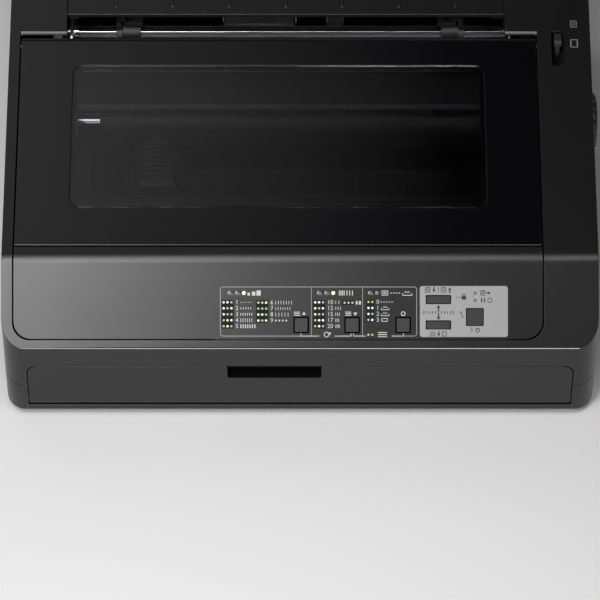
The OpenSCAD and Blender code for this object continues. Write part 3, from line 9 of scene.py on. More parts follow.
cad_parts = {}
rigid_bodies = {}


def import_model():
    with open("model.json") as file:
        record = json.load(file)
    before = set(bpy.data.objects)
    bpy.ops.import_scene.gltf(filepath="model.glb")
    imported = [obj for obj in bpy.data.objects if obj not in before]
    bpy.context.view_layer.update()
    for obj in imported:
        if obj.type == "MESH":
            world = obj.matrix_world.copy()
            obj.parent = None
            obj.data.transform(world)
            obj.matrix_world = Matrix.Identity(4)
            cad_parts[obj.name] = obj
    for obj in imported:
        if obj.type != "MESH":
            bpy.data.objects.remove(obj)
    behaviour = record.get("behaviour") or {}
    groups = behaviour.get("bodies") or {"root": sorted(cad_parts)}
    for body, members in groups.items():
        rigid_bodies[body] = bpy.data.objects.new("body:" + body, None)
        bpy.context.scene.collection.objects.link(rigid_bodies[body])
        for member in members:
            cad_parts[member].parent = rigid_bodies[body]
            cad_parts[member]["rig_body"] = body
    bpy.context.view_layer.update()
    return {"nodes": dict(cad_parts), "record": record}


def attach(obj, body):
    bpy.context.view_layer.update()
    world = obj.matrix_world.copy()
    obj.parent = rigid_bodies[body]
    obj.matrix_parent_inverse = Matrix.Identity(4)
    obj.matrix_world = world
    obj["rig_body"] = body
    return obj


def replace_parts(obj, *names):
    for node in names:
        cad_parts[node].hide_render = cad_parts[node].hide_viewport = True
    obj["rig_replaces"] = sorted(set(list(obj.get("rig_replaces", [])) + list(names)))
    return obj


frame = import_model()

bl_info = {
    "name": "Dot Matrix Printer",
    "version": (1, 0, 0),
    "blender": (4, 5, 0),
    "location": "View3D > Sidebar > Printer",
    "description": "Builds the finishes, printed marks and fittings of a desk dot matrix printer",
    "category": "Object",
}

MM = 0.001
ROOT = "chassis"

# The control panel: its front edge, and its slope
PANEL_SLOPE = math.radians(38)
PANEL_EDGE = Vector((0, -175 * MM, 76.2 * MM))

# Slope of the case's top, and its height at the middle of the case
TOP_SLOPE = math.radians(9)
TOP_AT = 134.845 * MM

NODE_SLOT = {part["node"]: part["material_slot"] for part in frame["record"]["subparts"]}


# ---------- Settings ----------
class PrinterColours(bpy.types.PropertyGroup):
    """Colours of the printer's mouldings and prints"""

    case: bpy.props.FloatVectorProperty(
        name="Case", description="Near-black case plastic", subtype="COLOR",
        default=(0.006, 0.006, 0.006), min=0, max=1)
    cover: bpy.props.FloatVectorProperty(
        name="Cover", description="Polished cover plastic", subtype="COLOR",
        default=(0.0018, 0.0018, 0.0025), min=0, max=1)
    overlay: bpy.props.FloatVectorProperty(
        name="Overlay", description="Silver film round the paper keys", subtype="COLOR",
        default=(0.21, 0.21, 0.213), min=0, max=1)
    key: bpy.props.FloatVectorProperty(
        name="Keys", description="Dark grey key caps", subtype="COLOR",
        default=(0.016, 0.016, 0.017), min=0, max=1)
    light_ink: bpy.props.FloatVectorProperty(
        name="Light ink", description="Printed numbers, lines and dots", subtype="COLOR",
        default=(0.36, 0.365, 0.355), min=0, max=1)
    green_ink: bpy.props.FloatVectorProperty(
        name="Green ink", description="Printed dots that stand for a lit lamp", subtype="COLOR",
        default=(0.27, 0.42, 0.20), min=0, max=1)
    lamp: bpy.props.FloatVectorProperty(
        name="Lamp", description="Light of a lit lamp", subtype="COLOR",
        default=(0.66, 0.92, 0.42), min=0, max=1)


class PrinterSizes(bpy.types.PropertyGroup):
    """Sizes of the softened edges, the prints and the studio"""

    shell_edge: bpy.props.FloatProperty(
        name="Shell edge", description="Rounding along the edges of the case and its covers",
        unit="LENGTH", default=0.25 * MM, min=0)
    cover_edge: bpy.props.FloatProperty(
        name="Cover edge", description="Rounding along the edges of the polished cover",
        unit="LENGTH", default=0.3 * MM, min=0)
    panel_edge: bpy.props.FloatProperty(
        name="Panel edge", description="Rounding along the edges of the control panel and its small parts",
        unit="LENGTH", default=0.06 * MM, min=0)
    part_edge: bpy.props.FloatProperty(
        name="Part edge", description="Rounding along the edges of a small part",
        unit="LENGTH", default=0.2 * MM, min=0)
    print_depth: bpy.props.FloatProperty(
        name="Print depth", description="Thickness of a printed mark",
        unit="LENGTH", default=0.04 * MM, min=0)
    line: bpy.props.FloatProperty(
        name="Line", description="Width of a printed line",
        unit="LENGTH", default=0.5 * MM, min=0)
    numeral: bpy.props.FloatProperty(
        name="Numeral", description="Height of a printed number",
        unit="LENGTH", default=2.9 * MM, min=0)
    camera_distance: bpy.props.FloatProperty(
        name="Camera distance", description="From the camera to the control panel",
        unit="LENGTH", default=2.9, min=0.5)
    view_width: bpy.props.FloatProperty(
        name="View width", description="Width of the picture at the control panel",
        unit="LENGTH", default=411.6 * MM, min=0.1)


def colours():
    return bpy.context.scene.printer_colours


def sizes():
    return bpy.context.scene.printer_sizes


# ---------- Materials ----------
def new_material(name):
    """A material with its node tree and Principled shader."""
    material = bpy.data.materials.new(name)
    material.use_nodes = True
    return material, material.node_tree, material.node_tree.nodes["Principled BSDF"]


def spread(tree, source, low, high):
    """Maps a 0..1 texture value to low..high."""
    node = tree.nodes.new("ShaderNodeMapRange")
    node.inputs["To Min"].default_value = low
    node.inputs["To Max"].default_value = high
    tree.links.new(source, node.inputs["Value"])
    return node.outputs["Result"]


def noise(tree, scale, detail=2.0, stretch=(1, 1, 1)):
    """Noise on the piece's own coordinates, in features per metre."""
    place = tree.nodes.new("ShaderNodeTexCoord")
    mapping = tree.nodes.new("ShaderNodeMapping")
    mapping.inputs["Scale"].default_value = stretch
    node = tree.nodes.new("ShaderNodeTexNoise")
    node.inputs["Scale"].default_value = scale
    node.inputs["Detail"].default_value = detail
    tree.links.new(place.outputs["Object"], mapping.inputs["Vector"])
    tree.links.new(mapping.outputs["Vector"], node.inputs["Vector"])
    return node.outputs["Fac"]


def roughen(tree, shader, texture, low, high):
    """Lets the roughness follow a texture, from low to high."""
    tree.links.new(spread(tree, texture, low, high), shader.inputs["Roughness"])


def bump(tree, shader, height, depth, strength=0.6):
    """Raises the surface by a texture's height times depth, in metres."""
    node = tree.nodes.new("ShaderNodeBump")
    node.inputs["Strength"].default_value = strength
    node.inputs["Distance"].default_value = depth
    tree.links.new(height, node.inputs["Height"])
    tree.links.new(node.outputs["Normal"], shader.inputs["Normal"])


def tinted(tree, shader, colour, amount, scale):
    """Base colour that drifts a little over the surface."""
    mix = tree.nodes.new("ShaderNodeMix")
    mix.data_type = "RGBA"
    mix.inputs["A"].default_value = (*[c * (1 - amount) for c in colour], 1)
    mix.inputs["B"].default_value = (*[min(1, c * (1 + amount)) for c in colour], 1)
    tree.links.new(noise(tree, scale, 3), mix.inputs["Factor"])
    tree.links.new(mix.outputs["Result"], shader.inputs["Base Color"])


def moulded(name, colour, roughness, grain=2400, depth=0.012 * MM, vary=0.08, sheen=0.5):
    """Moulded plastic with a fine spark-eroded grain."""
    material, tree, shader = new_material(name)
    shader.inputs["Specular IOR Level"].default_value = sheen
    tinted(tree, shader, colour, vary, 35)
    roughen(tree, shader, noise(tree, 22, 3), roughness - 0.03, roughness + 0.03)
    bump(tree, shader, noise(tree, grain, 2), depth)
    return material


def polished(name, colour, roughness=0.06):
    """Polished plastic with a faint waviness from the mould."""
    material, tree, shader = new_material(name)
    tinted(tree, shader, colour, 0.06, 12)
    roughen(tree, shader, noise(tree, 90, 4), roughness * 0.7, roughness * 1.4)
    bump(tree, shader, noise(tree, 26, 1), 0.02 * MM, 0.12)
    return material


def smoked(name, colour):
    """Tinted acrylic that shows what lies under it."""
    material, tree, shader = new_material(name)
    tinted(tree, shader, colour, 0.05, 10)
    shader.inputs["Transmission Weight"].default_value = 1.0
    shader.inputs["IOR"].default_value = 1.49
    roughen(tree, shader, noise(tree, 60, 3), 0.01, 0.04)
    return material


def metal(name, colour, roughness, stretch=(1, 1, 1), scale=900, depth=0.006 * MM):
    """Metal whose grain runs along the axis that stretch leaves short."""
    material, tree, shader = new_material(name)
    tinted(tree, shader, colour, 0.08, 60)
    shader.inputs["Metallic"].default_value = 1.0
    grain = noise(tree, scale, 4, stretch)
    roughen(tree, shader, grain, roughness - 0.07, roughness + 0.09)
    bump(tree, shader, grain, depth, 0.4)
    return material


def rubber(name, colour, roughness=0.7):
    """Ground or moulded rubber, finely pitted."""
    material, tree, shader = new_material(name)
    tinted(tree, shader, colour, 0.15, 80)
    roughen(tree, shader, noise(tree, 140, 4), roughness - 0.08, roughness + 0.06)
    bump(tree, shader, noise(tree, 3200, 3), 0.02 * MM)
    return material


def ink(name, colour, roughness=0.5, sheen=0.5):
    """Screen print, a little uneven in its cover."""
    material, tree, shader = new_material(name)
    shader.inputs["Specular IOR Level"].default_value = sheen
    tinted(tree, shader, colour, 0.10, 700)
    roughen(tree, shader, noise(tree, 1500, 2), roughness - 0.08, roughness + 0.08)
    bump(tree, shader, noise(tree, 4000, 2), 0.004 * MM)
    return material


def glowing(name, colour, strength):
    """A lit lens, pale where it doesn't glow."""
    material, tree, shader = new_material(name)
    tinted(tree, shader, [c * 0.3 for c in colour], 0.04, 500)
    shader.inputs["Roughness"].default_value = 0.3
    shader.inputs["Emission Color"].default_value = (*colour, 1)
    shader.inputs["Emission Strength"].default_value = strength
    bump(tree, shader, noise(tree, 2000, 2), 0.01 * MM)
    return material


def circuit(name, mask, track):
    """Solder mask over copper tracks."""
    material, tree, shader = new_material(name)
    place = tree.nodes.new("ShaderNodeTexCoord")
    bricks = tree.nodes.new("ShaderNodeTexBrick")
    bricks.inputs["Scale"].default_value = 90
    bricks.inputs["Mortar Size"].default_value = 0.06
    bricks.inputs["Color1"].default_value = (*mask, 1)
    bricks.inputs["Color2"].default_value = (*[c * 0.85 for c in mask], 1)
    bricks.inputs["Mortar"].default_value = (*track, 1)
    tree.links.new(place.outputs["Object"], bricks.inputs["Vector"])
    tree.links.new(bricks.outputs["Color"], shader.inputs["Base Color"])
    roughen(tree, shader, noise(tree, 200, 2), 0.25, 0.4)
    return material


def make_finishes():
    """Every finish: those of the record's slots, and the inks and small metals of the scene."""
    tone = colours()
    along_x = (0.02, 1, 1)
    return {
        "case": moulded("case_plastic", tone.case, 0.30, sheen=0.4),
        "edge_plastic": moulded("edge_plastic", tone.case, 0.13, sheen=0.6, depth=0.004 * MM),
        # Painted shade: a near-black, dull finish for the finger recess and the gaps round the key caps
        "deep_shade": moulded("deep_shade", (0.002, 0.002, 0.002), 0.8, sheen=0.05),
        "gloss_cover": polished("cover_gloss", tone.cover, 0.12),
        "smoked_window": smoked("smoked_acrylic", (0.42, 0.42, 0.44)),
        "overlay": moulded("silver_film", tone.overlay, 0.42, 5200, 0.004 * MM, 0.03),
        "dark_key": moulded("dark_key_plastic", tone.key, 0.46, 3400, 0.008 * MM, sheen=0.3),
        "grey_key": moulded(
            "grey_key_plastic", [c * 1.1 for c in tone.key], 0.5, 3400, 0.008 * MM, sheen=0.25),
        "lamp": polished("unlit_lens", (0.10, 0.105, 0.10), 0.2),
        "lit_lamp": glowing("lit_lens", tone.lamp, 0.9),
        "circuit_board": circuit("green_board", (0.012, 0.085, 0.035), (0.02, 0.15, 0.06)),
        "tan_board": circuit("tan_board", (0.30, 0.19, 0.07), (0.36, 0.24, 0.10)),
        "black_plastic": moulded("black_plastic", (0.010, 0.010, 0.011), 0.40, 2800),
        "inner_plastic": moulded("inner_plastic", (0.018, 0.018, 0.020), 0.5, 2000, 0.02 * MM),
        "steel_sheet": metal("zinc_sheet", (0.52, 0.53, 0.54), 0.34, (1, 1, 1), 160),
        "bright_steel": metal("bright_steel", (0.66, 0.66, 0.67), 0.18, along_x, 2400),
        "platen_rubber": rubber("platen_rubber", (0.014, 0.014, 0.015), 0.55),
        "black_rubber": rubber("black_rubber", (0.018, 0.018, 0.018)),
        "ivory_plastic": moulded("ivory_acetal", (0.68, 0.64, 0.52), 0.36, 1800, 0.006 * MM, 0.03),
        "brass": metal("machined_brass", (0.62, 0.43, 0.17), 0.25, along_x, 1800),
        "motor_black": moulded("motor_enamel", (0.012, 0.012, 0.014), 0.3, 900, 0.02 * MM),
        "head_metal": metal("dark_casting", (0.14, 0.14, 0.15), 0.45, (1, 1, 1), 1400, 0.02 * MM),
        "ribbon": rubber("inked_nylon", (0.006, 0.006, 0.008), 0.75),
        "blue_plastic": moulded("blue_lever", (0.03, 0.14, 0.26), 0.4),
        "light_ink": ink("light_ink", tone.light_ink),
        "dot_ink": ink("dot_ink", [c * 2 for c in tone.light_ink], 0.5, 0.3),
        "line_ink": ink("line_ink", [c * 0.5 for c in tone.light_ink]),
        "dim_ink": ink("dim_ink", [c * 0.9 for c in tone.light_ink], 0.6, 0.2),
        "green_ink": ink("green_ink", tone.green_ink, 0.6, 0.2),
        "plate_ink": ink("plate_ink", (0.010, 0.012, 0.009), 0.85, 0.08),
        "dark_ink": ink("dark_ink", (0.030, 0.030, 0.031), 0.6, 0.2),
    }


FINISH = {}


def finish(name):
    if not FINISH:
        FINISH.update(make_finishes())
    return FINISH[name]


# ---------- Modelling helpers ----------
def only(piece):
    """Makes piece the one selected and active object."""
    bpy.ops.object.select_all(action="DESELECT")
    piece.select_set(True)
    bpy.context.view_layer.objects.active = piece


def settle():
    """Puts the active object's place, turn and scale into its mesh."""
    bpy.ops.object.transform_apply(location=True, rotation=True, scale=True)


def merged(piece):
    """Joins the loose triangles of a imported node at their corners."""
    only(piece)
    bpy.ops.object.mode_set(mode="EDIT")
    bpy.ops.mesh.select_all(action="SELECT")
    bpy.ops.mesh.remove_doubles(threshold=0.002 * MM)
    bpy.ops.object.mode_set(mode="OBJECT")


def modify(piece, kind, **values):
    """Adds a modifier with these values and applies it."""
    only(piece)
    modifier = piece.modifiers.new(kind.title(), kind)
    for name, value in values.items():
        setattr(modifier, name, value)
    bpy.ops.object.modifier_apply(modifier=modifier.name)


def rounded(piece, width, segments=2, clamped=True):
    modify(piece, "BEVEL", width=width, segments=segments, limit_method="ANGLE",
           angle_limit=math.radians(34), use_clamp_overlap=clamped)


def shaded(piece, degrees=32):
    only(piece)
    bpy.ops.object.shade_smooth_by_angle(angle=math.radians(degrees))
    modify(piece, "WEIGHTED_NORMAL", keep_sharp=True, weight=80)


def joined(name, pieces):
    """Joins pieces into the first, under this name."""
    only(pieces[0])
    for piece in pieces:
        piece.select_set(True)
    bpy.ops.object.join()
    pieces[0].name = name
    return pieces[0]


def ready(piece, body, finish_name, stands_for=None):
    """Gives a finished piece its material, its body and the node that it stands for."""
    piece.data.materials.clear()
    piece.data.materials.append(finish(finish_name))
    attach(piece, body)
    if stands_for:
        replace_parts(piece, stands_for)
    return piece


def shade_faces(piece, finish_name, chosen):
    """Gives the faces that chosen picks a second finish."""
    piece.data.materials.append(finish(finish_name))
    for face in piece.data.polygons:
        if chosen(face):
            face.material_index = len(piece.data.materials) - 1


# How much of a piece's flat faces may be covered twice after a bevel
TORN = 30 * MM * MM


def torn(piece):
    """How much of the faces is covered twice by their own triangles."""
    mesh = piece.data
    mesh.calc_loop_triangles()
    covered = [0.0] * len(mesh.polygons)
    for triangle in mesh.loop_triangles:
        covered[triangle.polygon_index] += triangle.area
    return sum(max(0, area - face.area) for area, face in zip(covered, mesh.polygons))


def softened(node, width, segments=2):
    """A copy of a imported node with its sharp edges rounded, which stands for it."""
    source = frame["nodes"][node]
    # A clamped bevel shrinks to the mesh's shortest edge, so it is only used where a free one tears a face
    for clamped in (False, True):
        piece = bpy.data.objects.new(node + "_finished", source.data.copy())
        bpy.context.scene.collection.objects.link(piece)
        merged(piece)
        if width > 0:
            rounded(piece, width, segments, clamped)
        if clamped or torn(piece) < TORN:
            break
        bpy.data.objects.remove(piece)
    shaded(piece)
    return ready(piece, source["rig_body"], NODE_SLOT[node], node)


# Flat marks are drawn in the XY plane, in millimetres, and then laid on what they are printed on
def flat_box(x, y, w, h, radius=0.0, line=0.0):
    """A rectangle, or its outline when line is given."""
    bpy.ops.object.select_all(action="DESELECT")
    bpy.ops.mesh.primitive_plane_add(size=1, location=(x * MM, y * MM, 0))
    piece = bpy.context.object
    piece.scale = (w * MM, h * MM, 1)
    settle()
    bpy.ops.object.mode_set(mode="EDIT")
    bpy.ops.mesh.select_all(action="SELECT")
    if radius:
        bpy.ops.mesh.bevel(offset=radius * MM, segments=5, affect="VERTICES")
    if line:
        bpy.ops.mesh.select_all(action="SELECT")
        bpy.ops.mesh.inset(thickness=line * MM)
        bpy.ops.mesh.delete(type="FACE")
    bpy.ops.object.mode_set(mode="OBJECT")
    return piece


def flat_round(x, y, radius, corners=14, line=0.0, turn=0.0, squash=1.0):
    """A disc, a triangle with three corners, or a ring when line is given."""
    bpy.ops.object.select_all(action="DESELECT")
    bpy.ops.mesh.primitive_circle_add(vertices=corners, radius=radius * MM, fill_type="NGON",
                                      location=(x * MM, y * MM, 0), rotation=(0, 0, math.radians(turn)))
    piece = bpy.context.object
    piece.scale = (1, squash, 1)
    settle()
    if line:
        bpy.ops.object.mode_set(mode="EDIT")
        bpy.ops.mesh.select_all(action="SELECT")
        bpy.ops.mesh.inset(thickness=line * MM)
        bpy.ops.mesh.delete(type="FACE")
        bpy.ops.object.mode_set(mode="OBJECT")
    return piece


def flat_line(x0, y0, x1, y1, width):
    """A straight line between two points."""
    length = math.hypot(x1 - x0, y1 - y0)
    piece = flat_box(0, 0, length + width, width)
    piece.location = ((x0 + x1) / 2 * MM, (y0 + y1) / 2 * MM, 0)
    piece.rotation_euler = (0, 0, math.atan2(y1 - y0, x1 - x0))
    only(piece)
    settle()
    return piece


def flat_number(text, x, y, height, align="LEFT"):
    """A plain number, centred on y."""
    bpy.ops.object.select_all(action="DESELECT")
    bpy.ops.object.text_add(location=(x * MM, y * MM, 0))
    piece = bpy.context.object
    piece.data.body = text
    piece.data.size = height / 0.70 * MM
    piece.data.resolution_u = 2
    piece.data.align_x = align
    piece.data.align_y = "CENTER"
    bpy.ops.object.convert(target="MESH")
    piece = bpy.context.object
    settle()
    return piece


def flat_sheet(x, y, w, h, line):
    """A pictogram of a sheet with two lines on it."""
    return [flat_box(x, y, w, h, 0.2, line), flat_box(x, y + h * 0.16, w * 0.5, line),
            flat_box(x, y - h * 0.12, w * 0.5, line)]


def flat_ticks(x, y, count, pitch, width, height):
    """A row of upright strokes from x on."""
    return [flat_box(x + pitch * i, y, width, height) for i in range(count)]


def flat_arrow(x, y, size, turn):
    """An arrow that points up at no turn, with its stem."""
    stem = Vector((0, -size * 0.75, 0))
    stem.rotate(Matrix.Rotation(math.radians(turn), 3, "Z"))
    across, along = (size * 0.55, size) if turn % 180 == 0 else (size, size * 0.55)
    lift = size * 0.25 * {0: 1, 180: -1}.get(turn, 0)
    return [flat_round(x, y + lift, size * 0.85, 3, turn=turn),
            flat_box(x + stem.x, y + stem.y, across, along)]


def flat_tray(x, y, w, h, line):
    """A pictogram of an open tray with a sheet over it."""
    return [flat_box(x, y - h / 2, w, line), flat_box(x - w / 2, y - h / 4, line, h / 2),
            flat_box(x + w / 2, y - h / 4, line, h / 2), flat_box(x, y + h / 4, w * 0.6, line)]


def printed(name, marks, place, body, finish_name, depth=None):
    """Lays marks on a surface by the matrix place, as one piece of this depth."""
    piece = joined(name, marks)
    thick = sizes().print_depth if depth is None else depth
    modify(piece, "SOLIDIFY", thickness=thick, offset=1)
    only(piece)
    piece.matrix_world = place
    settle()
    return ready(piece, body, finish_name)


def on_panel(lift=0.0):
    """From panel millimetres (x, up the slope) to the world."""
    up = Vector((0, math.cos(PANEL_SLOPE), math.sin(PANEL_SLOPE)))
    out = Vector((0, -math.sin(PANEL_SLOPE), math.cos(PANEL_SLOPE)))
    turn = Matrix((Vector((1, 0, 0)), up, out)).transposed().to_4x4()
    return Matrix.Translation(PANEL_EDGE + out * lift) @ turn


def on_top(lift=0.0):
    """From millimetres on the case's sloping top (x, along y) to the world."""
    along = Vector((0, 1, math.tan(TOP_SLOPE)))
    out = Vector((0, -math.sin(TOP_SLOPE), math.cos(TOP_SLOPE)))
    turn = Matrix((Vector((1, 0, 0)), along, out)).transposed().to_4x4()
    return Matrix.Translation(Vector((0, 0, TOP_AT)) + out * lift) @ turn


# ---------- Case and covers ----------
# Half the case's width, its front, and the radius of its front corners seen from above
CASE_SIDE = 205 * MM
CASE_FRONT = -175 * MM
CORNER_R = 16 * MM
# How far in from the outer form a face still counts as outside, so that the walls' inner faces don't
OUTSIDE = 2.4 * MM
# The rounded edge between panel and front: its rear limit, its depth below the panel, and how steep it is
EDGE_REAR = -130 * MM
EDGE_DEPTH = (-1.5 * MM, 0.01 * MM)
EDGE_STEEP = (0.03, 0.78)
# The finger recess in the front cover, whose faces get painted shade: from and to along X, what lies behind
# the face, what lies above
RECESS_X = (-51 * MM, 16 * MM)
RECESS_FRONT = -173.8 * MM
RECESS_LOW = 42 * MM
# Where the scale runs on the paper guide, clear of its ribs, and the middle of the scale
SCALE_Y = 160.5
SCALE_X = -10
# Middle of the power switch, in the case's left side
SWITCH_AT = Vector((-205 * MM, -127 * MM, 52 * MM))


class PRINTER_OT_case(bpy.types.Operator):
    """Build the case, the covers and the paper guide"""

    bl_idname = "printer.case"
    bl_label = "Case and covers"

    def execute(self, context):
        for node in ("base_tray", "paper_guide"):
            softened(node, sizes().shell_edge, 3)
        softened("control_panel", sizes().panel_edge)
        softened("printer_cover", sizes().cover_edge, 3)
        upper = softened("upper_case", sizes().shell_edge, 3)
        # The edge between the panel and the front is smooth
        to_panel = on_panel().inverted()
        shade_faces(upper, "edge_plastic", lambda face: (
            face.center.y < EDGE_REAR and EDGE_DEPTH[0] < (to_panel @ face.center).z < EDGE_DEPTH[1]
            and EDGE_STEEP[0] < face.normal.z < EDGE_STEEP[1] and self.is_outside(face)))
        # The finger recess is too deep for the light, so its faces get painted shade: the near-black
        # deep_shade finish
        shade_faces(softened("front_cover", sizes().shell_edge, 3), "deep_shade", lambda face: (
            RECESS_X[0] < face.center.x < RECESS_X[1] and RECESS_FRONT < face.center.y
            and face.center.z > RECESS_LOW))
        for node in ("cover_window", "left_edge_guide", "right_edge_guide", "front_guide", "rubber_feet"):
            softened(node, sizes().part_edge)
        self.scale()
        self.lever_marks()
        self.switch_marks()
        return {"FINISHED"}

    def is_outside(self, face):
        """Whether a face lies on the case's outer form, whose front corners are rounded."""
        x, y = abs(face.center.x), face.center.y
        reach = max(0, x - (CASE_SIDE - CORNER_R)), max(0, CASE_FRONT + CORNER_R - y)
        return math.hypot(*reach) > CORNER_R - OUTSIDE

    def scale(self):
        """A plain scale for the paper's width on the paper guide, in centimetres."""
        marks = []
        for i in range(-13, 14):
            x, tall = SCALE_X + 10 * i, i % 5 == 0
            marks.append(flat_box(x, SCALE_Y - (0.6 if tall else 1.2), 0.5, 3.0 if tall else 1.8))
            if tall:
                marks.append(flat_number(str(abs(i)), x, SCALE_Y + 3.0, 2.4, "CENTER"))
        printed("guide_scale", marks, on_top(), "paper_guide", "line_ink")

    def lever_marks(self):
        """A single sheet at one end of the release lever's slot, and a strip with holes at the other."""
        marks = flat_sheet(193.5, 62, 4.5, 5.5, 0.5)
        marks.append(flat_box(193.5, 46, 5.5, 6.5, 0.3, 0.5))
        marks += [flat_round(193.5 + side * 1.9, 46 + 1.6 * i, 0.4, 8)
                  for side in (-1, 1) for i in (-1, 0, 1)]
        printed("lever_marks", marks, on_top(), ROOT, "line_ink")

    def switch_marks(self):
        """A line and a ring beside the power switch."""
        place = Matrix.Translation(SWITCH_AT) @ Matrix((
            (0, 0, -1, 0), (-1, 0, 0, 0), (0, 1, 0, 0), (0, 0, 0, 1)))
        marks = [flat_box(14.5, 0, 0.7, 4.2), flat_round(-14.5, 0, 2.1, 24, 0.6)]
        printed("switch_marks", marks, place, ROOT, "light_ink")


# ---------- Control panel ----------
# Rounding of the key caps, and how far below the panel's face the gap round them gets painted shade
KEY_EDGE = 0.3 * MM
GAP_DEPTH = 0.6 * MM
# Panel prints, in millimetres along X and up the slope
DOT_PITCH = 2.65
DOT_RADIUS = 0.78
ROW_PITCH = 4.1
# Dot tables: middle, and rows of dots: w light, g dim, G green
DOT_TABLES = (
    (-49.7, 23.8, ("wwg", "wGw", "wgg", "Gww", "Gwg")),
    (-25.9, 25.65, ("GGw", "GGG", "wwG", "wGw")),
    (13.1, 23.8, ("wwg", "wGw", "wgg", "Gww", "Gwg")),
    (33.3, 31.7, ("ggg",)),
    (48.3, 26.1, ("GG", "ww", "wg", "gw")),
)
# Numbers beside the rows: x, the first row's height, the numbers
ROW_NUMBERS = (
    (-44.3, 32.0, ("1", "2", "3", "4", "5")),
    (-20.4, 31.8, ("6", "7", "8", "9")),
    (18.7, 32.0, ("10", "12", "15", "17", "20")),
    (52.3, 32.25, ("0", "1", "2", "3")),
)
# Print samples: x, the first row's height, and each row's count, pitch, width and height of its strokes
ROW_SAMPLES = (
    (-40.6, 32.0, ((5, 1.7, 0.5, 0.6), (5, 1.7, 0.5, 1.3), (6, 1.5, 0.5, 1.8),
                   (6, 1.5, 0.4, 2.6), (7, 1.6, 0.7, 2.6))),
    (-16.6, 31.8, ((7, 1.8, 0.4, 2.5), (7, 1.6, 0.4, 1.8), (5, 2.1, 0.4, 2.6), (4, 2.4, 1.1, 1.1))),
    (24.5, 32.0, ((2, 2.2, 0.4, 2.3), (3, 1.6, 0.4, 2.3), (3, 1.2, 0.4, 2.3),
                  (3, 1.0, 0.4, 2.3), (4, 0.85, 0.35, 2.3))),
    (38.9, 31.7, ((2, 2.2, 1.3, 2.4),)),
)
# Height of the headings' middle, the frame from and to, and where its two separators run
HEADING_V = 38.4
FRAME_X = (-54.9, 80.3)
FRAME_V = (8.6, 42.8)
SEPARATORS = (7.8, 42.9)
# Brackets in the frame's lower line: from the first key, to and from the pictogram, to the second key
BRACKETS = ((0.6, 12.8, 24.0, 35.0), (36.7, 45.0, 63.2, 70.9))


class PRINTER_OT_panel_parts(bpy.types.Operator):
    """Build the panel's keys, lamps and silver film"""

    bl_idname = "printer.panel_parts"
    bl_label = "Keys, lamps and film"

    def execute(self, context):
        to_panel = on_panel().inverted()
        for key in ("item", "change", "set", "sheet", "line", "pause"):
            # What lies in the gap round a cap gets painted shade: the near-black deep_shade finish
            shade_faces(softened(key + "_button", KEY_EDGE, 3), "deep_shade",
                        lambda face: (to_panel @ face.center).z < -GAP_DEPTH)
        for node in ("panel_overlay", "indicator_lamps", "lit_lamps", "panel_board", "panel_switches"):
            softened(node, sizes().panel_edge)
        return {"FINISHED"}


